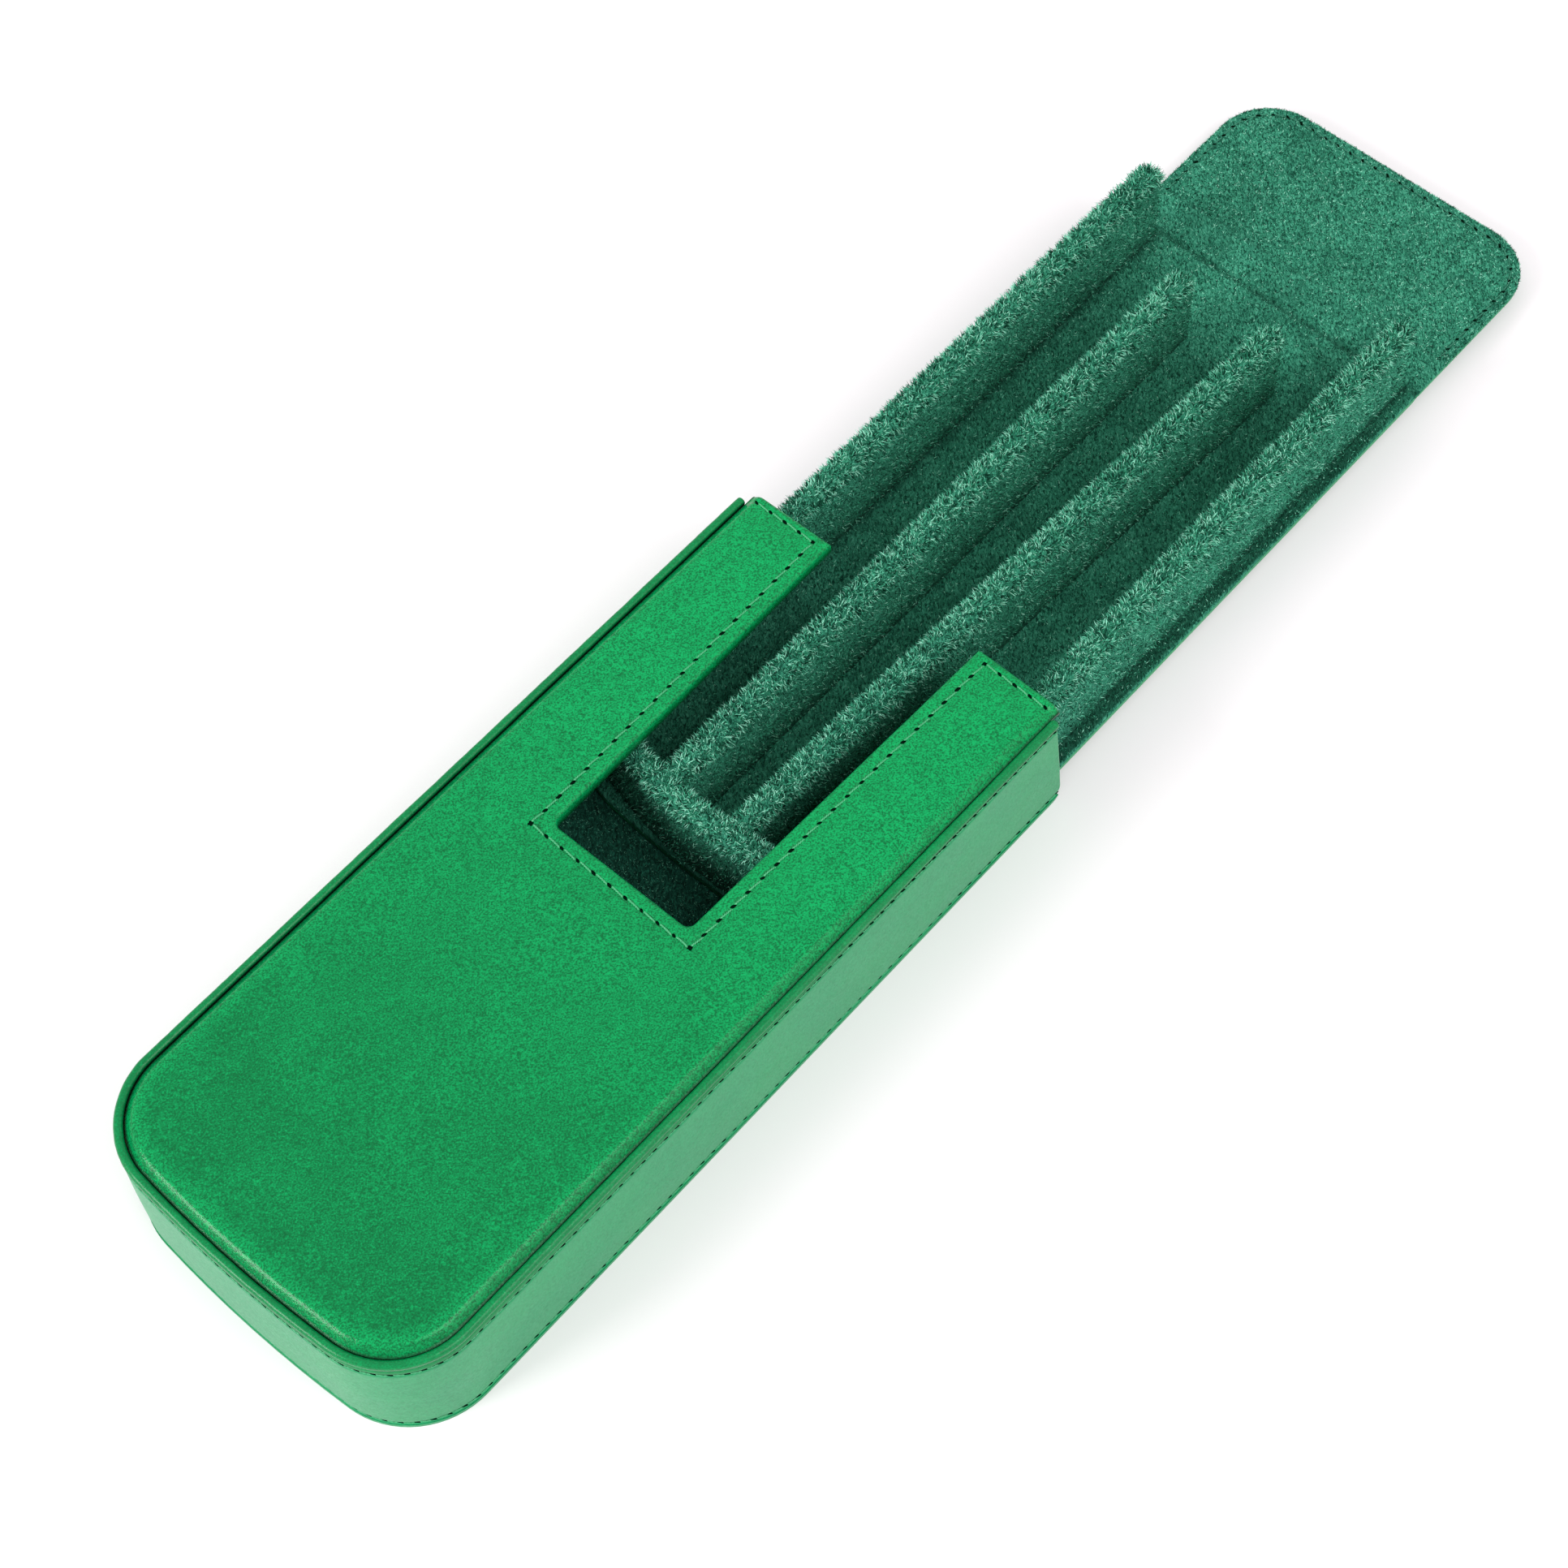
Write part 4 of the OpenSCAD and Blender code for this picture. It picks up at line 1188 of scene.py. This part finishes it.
class CASE_OT_nap(bpy.types.Operator):
    """The suede's nap: short fibres on ridges, sides, floor and flap"""

    bl_idname = "pen_case.nap"
    bl_label = "Nap"

    def execute(self, context):
        n, s = context.scene.case_nap, context.scene.case_tray
        rng = np.random.default_rng(20)
        most, per_bent = 195000, 10
        # From painted shade in the darkest fibres to painted highlight in the palest
        codes = "#0f4a37", "#2a8565", "#46ad89", "#70d2b0", "#a8f4d8"
        shades = add_fibre_shades("suede_fibre_shade_and_highlight", codes)
        # The ridges draw more pale fibres than sides, floor and flap: a painted highlight on the
        # crests
        ridge_chances = (0.24, 0.16, 0.18, 0.22, 0.2)
        side_chances = (0.32, 0.25, 0.21, 0.14, 0.08)
        # Length, width, lean, brush and whether bent
        ridge = n.ridge_len, 0.19 * MM, 0.4, (0.0, 0.0, 0.15), True
        side = n.side_len, 0.2 * MM, 0.7, (0.25, 0.0, 0.5), False
        floor = n.floor_len, 0.2 * MM, 1.2, (0.5, 0.2, 0.0), False
        flap = n.floor_len, 0.18 * MM, 1.3, (0.5, 0.2, 0.0), False
        lining = 0.45 * MM, 0.13 * MM, 1.2, (0.3, 0.2, 0.0), False
        for name in ("wall", "left_divider", "right_divider"):
            grid = SURFACES[name]
            crest = RIDGE_HIGH[2] - (0 if name == "wall" else s.divider_drop)

            def on_ridge(p):
                return ramp(p[..., 2] - crest + 3.4 * MM, 1.6)

            def on_side(p):
                high = ramp(crest - 2.2 * MM - p[..., 2], 1.5)
                return high * (p[..., 2] > TRAY_TOP + 0.1 * MM)

            places = scatter(grid, n.ridge_count, rng, on_ridge)
            # A piece has fewer triangles than most, and a bent fibre has ten
            count = 1 + len(places[0]) * per_bent // most
            for k, part in enumerate(zip(*(np.array_split(p, count) for p in places))):
                name_k = f"{name}_ridge_nap_{k + 1}"
                nap_piece(name_k, part, "tray", shades, ridge_chances, ridge, rng)
            places = scatter(grid, n.side_count, rng, on_side)
            nap_piece(f"{name}_side_nap", places, "tray", shades, side_chances, side, rng)

        def inside_edge(p):
            return np.abs(p[..., 1]) < FLOOR_HIGH[1] - 0.5 * MM

        places = scatter(SURFACES["tray"], n.floor_count, rng, inside_edge)
        nap_piece("tray_floor_nap", places, TRAY_FOLD, shades, side_chances, floor, rng)
        whole = scatter(SURFACES["flap"], n.flap_count, rng)
        rim_rows, rim_count = 7, 20
        rim = scatter(SURFACES["flap"][:, :rim_rows], rim_count, rng)
        points, normals = (join(pair) for pair in zip(whole, rim))
        places = points, normals * np.sign(normals[:, 2:3])
        nap_piece("flap_nap", places, FLAP_FOLD, shades, side_chances, flap, rng)
        # The lining's nap is short and lies flat, clear of the tray that slides over it
        top = np.array(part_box("bottom_lining"))[1, 2]
        open_x, open_y = np.linspace(-12, 30, 5) * MM, np.linspace(-31, 31, 5) * MM
        x, y = np.meshgrid(open_x, open_y, indexing="ij")
        lining_count = 6
        places = scatter(np.stack([x, y, np.full_like(x, top)], axis=2), lining_count, rng)
        # The lining's fibres also run from painted shade to a pale painted highlight
        shades = add_fibre_shades("lining_fibre_shade_and_highlight", ("#164436", "#3a8c70", "#86d6b6"))
        limit = top + 0.2 * MM
        nap_piece("lining_nap", places, "sleeve", shades, (0.3, 0.4, 0.3), lining, rng, limit)
        return {"FINISHED"}


# ---- Stitching ----


def along_path(path, normals, places):
    """Points and normals at distances along a path, by straight interpolation."""
    run = run_along(path)
    at, up = (
        columns([np.interp(places, run, values[:, k]) for k in range(3)])
        for values in (path, normals)
    )
    return at, unit(up)


def seam_frame(path, normals, places, reach):
    """Places, normals, tangents and sideways directions at distances along a path."""
    at, up = along_path(path, normals, places)
    ahead, _ = along_path(path, normals, np.minimum(places + reach, run_along(path)[-1]))
    behind, _ = along_path(path, normals, np.maximum(places - reach, 0))
    tangent = unit(ahead - behind)
    return at, up, tangent, unit(np.cross(tangent, up))


def stitch_threads(path, normals, count, step, thread, rng):
    """Stitches from hole to hole. The thread rises as lift times 1 - (2t - 1)^4, dives at
    both ends by a tenth power, and runs from one side of its seam to the other by slew. It is
    two plies, each a tube whose middle circles the thread's in a helix of so many turns."""
    radius, turns, lift, slew = thread
    # A thread of more turns needs a finer tube
    steps, sides = (18, 6) if turns > 2 else (8, 5)
    t, clear = np.linspace(0, 1, steps), 0.07
    places = ((np.arange(count)[:, None] + clear + (1 - 2 * clear) * t[None]) * step).ravel()
    at, up, _, side = seam_frame(path, normals, places, 0.02 * MM)
    high = np.tile(lift * (1 - (2 * t - 1) ** 4) - 3.2 * radius * (2 * t - 1) ** 10, count)
    sway = np.repeat(rng.normal(size=count) * 0.04 * MM, steps)
    sway = sway * np.tile(np.sin(np.pi * t), count) + np.tile((t - 0.5) * slew, count)
    middle = at + up * high[:, None] + side * sway[:, None]
    around = np.linspace(0, 2 * math.pi, sides + 1)[:-1]
    ring = rings(side, up, around)
    per, k = steps * sides, np.arange(1, sides - 1)
    first = columns([np.zeros_like(k), k + 1, k])
    last = columns([np.full_like(k, per - sides), per - sides + k, per - sides + k + 1])
    points = []
    for ply in (0, math.pi):
        phase = np.tile(t * turns * 2 * math.pi, count) + ply
        wind = np.cos(phase)[:, None] * side + np.sin(phase)[:, None] * up
        centre = middle + wind * radius * 0.5
        points.append((centre[:, None] + ring * radius * 0.58).reshape(-1, 3))
    shapes = grid_faces(steps, sides, True), join([first, last])
    return join(points), *(repeated(shape, 2 * count, per) for shape in shapes)


def needle_holes(path, normals, places, hole, raised, rng):
    """Needle holes as painted shade: flat dark lenses on the surface, longer than wide, each
    turned a little out of the seam's direction."""
    at, up, tangent, side = seam_frame(path, normals, places, 0.3 * MM)
    lean = rng.uniform(0.35, 0.8, (len(places), 1))
    long_way, short_way = unit(tangent + side * lean), unit(side - tangent * lean)
    around = np.linspace(0, 2 * math.pi, 11)[:-1]
    grow = rng.uniform(0.85, 1.12, (len(places), 1, 1))
    ragged = rng.uniform(0.85, 1.15, (len(places), len(around), 1))
    ring = rings(long_way * (hole[0] / 2), short_way * (hole[1] / 2), around)
    edge = at[:, None] + grow * ragged * ring + up[:, None] * raised
    crown, keel = at + up * (raised + 0.03 * MM), at - up * 0.2 * MM
    points = join([edge, crown[:, None], keel[:, None]], axis=1)
    k, n = np.arange(len(around)), len(around)
    after = (k + 1) % n
    lens = join([columns([k, after, np.full(n, n)]), columns([after, k, np.full(n, n + 1)])])
    return points.reshape(-1, 3), repeated(lens, len(places), n + 2)


def stitch_seam(path, normals, pitch, hole, thread):
    """Thread and needle holes of one seam, with a whole number of stitches."""
    total = run_along(path)[-1]
    count = max(1, int(round(total / pitch)))
    step = total / count
    rng = np.random.default_rng(int(total / MM * 10))
    _, _, lift, _ = thread
    plies = stitch_threads(path, normals, count, step, thread, rng)
    return plies, needle_holes(path, normals, np.arange(count + 1) * step, hole, lift, rng)


def sew(name, seams, body, thread):
    """Thread and holes of several seams, as one piece with two materials."""
    points, quads, tris, dark, start = [], [], [], [], 0
    for (p, q, e), (h, t) in seams:
        points += [p, h]
        quads.append(q + start)
        tris += [e + start, t + start + len(p)]
        dark += [np.zeros(len(e), int), np.ones(len(t), int)]
        start += len(p) + len(h)
    points, quads, tris, dark = map(join, (points, quads, tris, dark))
    mesh = fill_mesh(name, points, quads, tris, [np.zeros(len(quads), int), dark])
    return place_piece(name, mesh, body, [finish(thread), finish("needle_hole_shadow")])


class CASE_OT_stitching(bpy.types.Operator):
    """Seams on the top, under the piping, along the underside and round the flap"""

    bl_idname = "pen_case.stitching"
    bl_label = "Stitching"

    def execute(self, context):
        s, t, w = context.scene.case_sleeve, context.scene.case_tray, context.scene.case_stitch
        start = MOUTH_X - s.notch_len - s.notch_seam
        inner_y = s.notch_inner + s.notch_seam
        mouth_x = MOUTH_X - s.mouth_seam
        mouth_y = notch_half_width(mouth_x, s) + s.notch_seam
        half = [(mouth_x, TOP_HIGH[1] - 1.9 * MM), (mouth_x, mouth_y), (start, inner_y)]
        corners = np.array(half + [(x, -y) for x, y in half[::-1]])
        share = np.linspace(0, 1, 120)[:, None]
        # A hole is its length and width, and a thread its radius, turns, lift and slew
        hole, seams = (w.hole_l, w.hole_w), []
        for a, b in zip(corners[:-1], corners[1:]):
            xy = a * (1 - share) + b * share
            path = lifted(xy, top_shape(xy[:, 0], xy[:, 1], s)[0])
            up = np.tile([0.0, 0.0, 1.0], (len(path), 1))
            thread = w.thread_r, 3.5, 0.08 * MM, 0.3 * MM
            seams.append(stitch_seam(path, up, w.pitch, hole, thread))
        sew("top_seam", seams, "sleeve", "waxed_thread")

        plan = sleeve_plan(s)
        hole, fine, seams = mm(1.25, 0.5), 0.12 * MM, []
        for upper, setback in ((True, 3.2 * MM), (False, 1.2 * MM)):
            side_x = spaced(MOUTH_X - setback, corner_place(plan)[0], MM)
            points, normals = u_plan(plan, side_x, 0.8 * MM)
            height = band_seam_height(points[:, 0], s) if upper else s.foot_seam
            height = np.broadcast_to(height, len(points))
            path, normals = lifted(points - normals * 0.3 * MM, height), flat_normals(normals)
            thread = fine, 1.5, 0.08 * MM, 0.2 * MM
            seams.append(stitch_seam(path, normals, w.band_pitch, hole, thread))
        sew("band_seams", seams, "sleeve", "waxed_thread")

        points, normals = flap_outline(t)
        xy = (points - normals * t.flap_seam) * [-1, 1]
        path = lifted(xy, np.full(len(xy), TRAY_TOP - 0.05 * MM))
        up = np.tile([0.0, 0.0, 1.0], (len(path), 1))
        thread = fine, 1.5, 0.05 * MM, 0.3 * MM
        seam = stitch_seam(path, up, 2.9 * MM, mm(1.0, 0.45), thread)
        sew("flap_seam", [seam], FLAP_FOLD, "waxed_thread_on_suede")
        return {"FINISHED"}


# ---- Finishes of the CAD pieces, and the stage ----


class CASE_OT_layers(bpy.types.Operator):
    """Boards, linings, cores and cord of the layered build"""

    bl_idname = "pen_case.layers"
    bl_label = "Layers"

    def execute(self, context):
        own = {"bottom_leather": "pull_up_leather_wall", "piping_cord": "cotton_cord"}
        for name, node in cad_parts.items():
            lined = name in ("bottom_lining", "side_lining", "top_lining")
            material = own.get(name, "split_suede_lining" if lined else "pasteboard_grey")
            node.data.materials.clear()
            node.data.materials.append(finish(material))
        return {"FINISHED"}


def look(place, right, up, back):
    """A matrix whose columns are an object's right, up and back directions and its place."""
    return Matrix([*columns([right, up, back, place]).tolist(), [0, 0, 0, 1]])


def add_floor(scene, s):
    """Matt white paper. Where it is seen, straight or mirrored, it adds some light to its look,
    and far from the case, where the lamps fall off, the light that they lack."""
    half, z = 3.0, -0.02 * MM
    mesh = bpy.data.meshes.new("floor")
    corners = [(-half, -half, z), (half, -half, z), (half, half, z), (-half, half, z)]
    mesh.from_pydata(corners, [], [(0, 1, 2, 3)])
    floor = bpy.data.objects.new("floor", mesh)
    scene.collection.objects.link(floor)
    paper = bpy.data.materials.new("matt_white_paper")
    paper.use_nodes = True
    mesh.materials.append(paper)
    tree = paper.node_tree
    tree.nodes.clear()
    seen, *others = (
        add(tree, "LightPath", output=f"Is {ray} Ray")
        for ray in ("Camera", "Glossy", "Transmission")
    )
    for ray in others:
        seen = add(tree, "Math", (seen, ray), operation="MAXIMUM")
    place = add(tree, "TexCoord", output="Object")
    away = add(tree, "VectorMath", (place,), "Value", operation="LENGTH")
    level = add(tree, "MapRange", (away, 0.35, 0.9, s.glow, s.far_glow))
    glow = add(tree, "Math", (seen, level), operation="MULTIPLY")
    diffuse = add(tree, "BsdfDiffuse", {"Color": (0.84, 0.8, 0.82, 1)})
    both = add(tree, "AddShader", (diffuse, add(tree, "Emission", {"Strength": glow})))
    output = tree.nodes.new("ShaderNodeOutputMaterial")
    tree.links.new(both, output.inputs["Surface"])


def add_surroundings(scene, s):
    """A plain white sky, as bright as the paper to the camera and a little dimmer as light."""
    scene.world = bpy.data.worlds.new("studio")
    scene.world.use_nodes = True
    tree = scene.world.node_tree
    background = tree.nodes["Background"].inputs
    background["Color"].default_value = (1, 1, 1, 1)
    camera_ray = add(tree, "LightPath", output="Is Camera Ray")
    strength = add(tree, "MapRange", (camera_ray, 0, 1, s.sky, 1))
    tree.links.new(strength, background["Strength"])


def add_lamps(scene, s, aim):
    """Four square soft lamps that face the aim."""
    # Name, direction from the aim, distance, width and power
    lamps = (
        ("key_softbox", (-0.05, -0.62, 0.78), 1.2, 0.6, s.key),
        ("fill_softbox", (0.3, -0.64, 0.7), 1.3, 0.8, s.fill),
        ("end_softbox", (-0.8, 0.33, 0.5), 1.2, 0.5, s.end),
        ("side_softbox", (0.1, -0.94, 0.34), 1.2, 0.7, s.side),
    )
    for name, toward, far, width, power in lamps:
        lamp = bpy.data.lights.new(name, "AREA")
        lamp.shape, lamp.size, lamp.energy = "SQUARE", width, power
        holder = bpy.data.objects.new(name, lamp)
        scene.collection.objects.link(holder)
        back = unit(np.array(toward))
        right = unit(np.cross([0, 0, 1], back))
        holder.matrix_world = look(aim + back * far, right, np.cross(back, right), back)


def add_camera(scene, s, aim):
    """The camera that matches the photo: its back points from the aim along azimuth and
    elevation, and it is rolled about that line."""
    a, e, r = s.azimuth, s.elevation, s.roll
    back = np.array([math.sin(a) * math.cos(e), -math.cos(a) * math.cos(e), math.sin(e)])
    right = np.array([math.cos(a), math.sin(a), 0.0])
    up = np.cross(back, right)
    turned = math.cos(r) * right + math.sin(r) * up
    upright = -math.sin(r) * right + math.cos(r) * up
    data = bpy.data.cameras.new("camera")
    data.sensor_width, data.lens = 36, s.lens
    data.clip_start, data.clip_end = 0.05, 20
    camera = bpy.data.objects.new("camera", data)
    scene.collection.objects.link(camera)
    camera.matrix_world = look(aim + back * s.distance, turned, upright, back)
    scene.camera = camera


class CASE_OT_stage(bpy.types.Operator):
    """Pale floor, four soft lamps, plain surroundings and the camera"""

    bl_idname = "pen_case.stage"
    bl_label = "Stage"

    def execute(self, context):
        scene, s = context.scene, context.scene.case_stage
        aim = np.array([s.aim_x, s.aim_y, 0.0])
        add_floor(scene, s)
        add_surroundings(scene, s)
        add_lamps(scene, s, aim)
        add_camera(scene, s, aim)
        scene.view_settings.view_transform = "Standard"
        return {"FINISHED"}


class CASE_PT_panel(bpy.types.Panel):
    """Lists the sizes and the steps that build the case"""

    bl_idname = "CASE_PT_panel"
    bl_label = "Pen case"
    bl_space_type = "VIEW_3D"
    bl_region_type = "UI"
    bl_category = "Pen case"

    def draw(self, context):
        for name, group in GROUPS.items():
            box = self.layout.box()
            box.label(text=name)
            for prop in group.__annotations__:
                box.prop(getattr(context.scene, name), prop)
        for operator in OPERATORS:
            self.layout.operator(operator.bl_idname)


GROUPS = {
    "case_sleeve": SleeveSizes,
    "case_tray": TraySizes,
    "case_nap": NapSizes,
    "case_stitch": StitchSizes,
    "case_colours": CaseColours,
    "case_stage": StageSizes,
}
OPERATORS = (
    CASE_OT_padded_top,
    CASE_OT_piping,
    CASE_OT_side_band,
    CASE_OT_floor_and_flap,
    CASE_OT_tray_walls,
    CASE_OT_nap,
    CASE_OT_stitching,
    CASE_OT_layers,
    CASE_OT_stage,
)


def register():
    for item in (*GROUPS.values(), *OPERATORS, CASE_PT_panel):
        bpy.utils.register_class(item)
    for name, group in GROUPS.items():
        setattr(bpy.types.Scene, name, PointerProperty(type=group))


def unregister():
    for name in GROUPS:
        delattr(bpy.types.Scene, name)
    for item in reversed((*GROUPS.values(), *OPERATORS, CASE_PT_panel)):
        bpy.utils.unregister_class(item)


def main():
    register()
    for operator in OPERATORS:
        group, name = operator.bl_idname.split(".")
        getattr(getattr(bpy.ops, group), name)()
    bpy.context.view_layer.update()


if __name__ == "__main__":
    main()
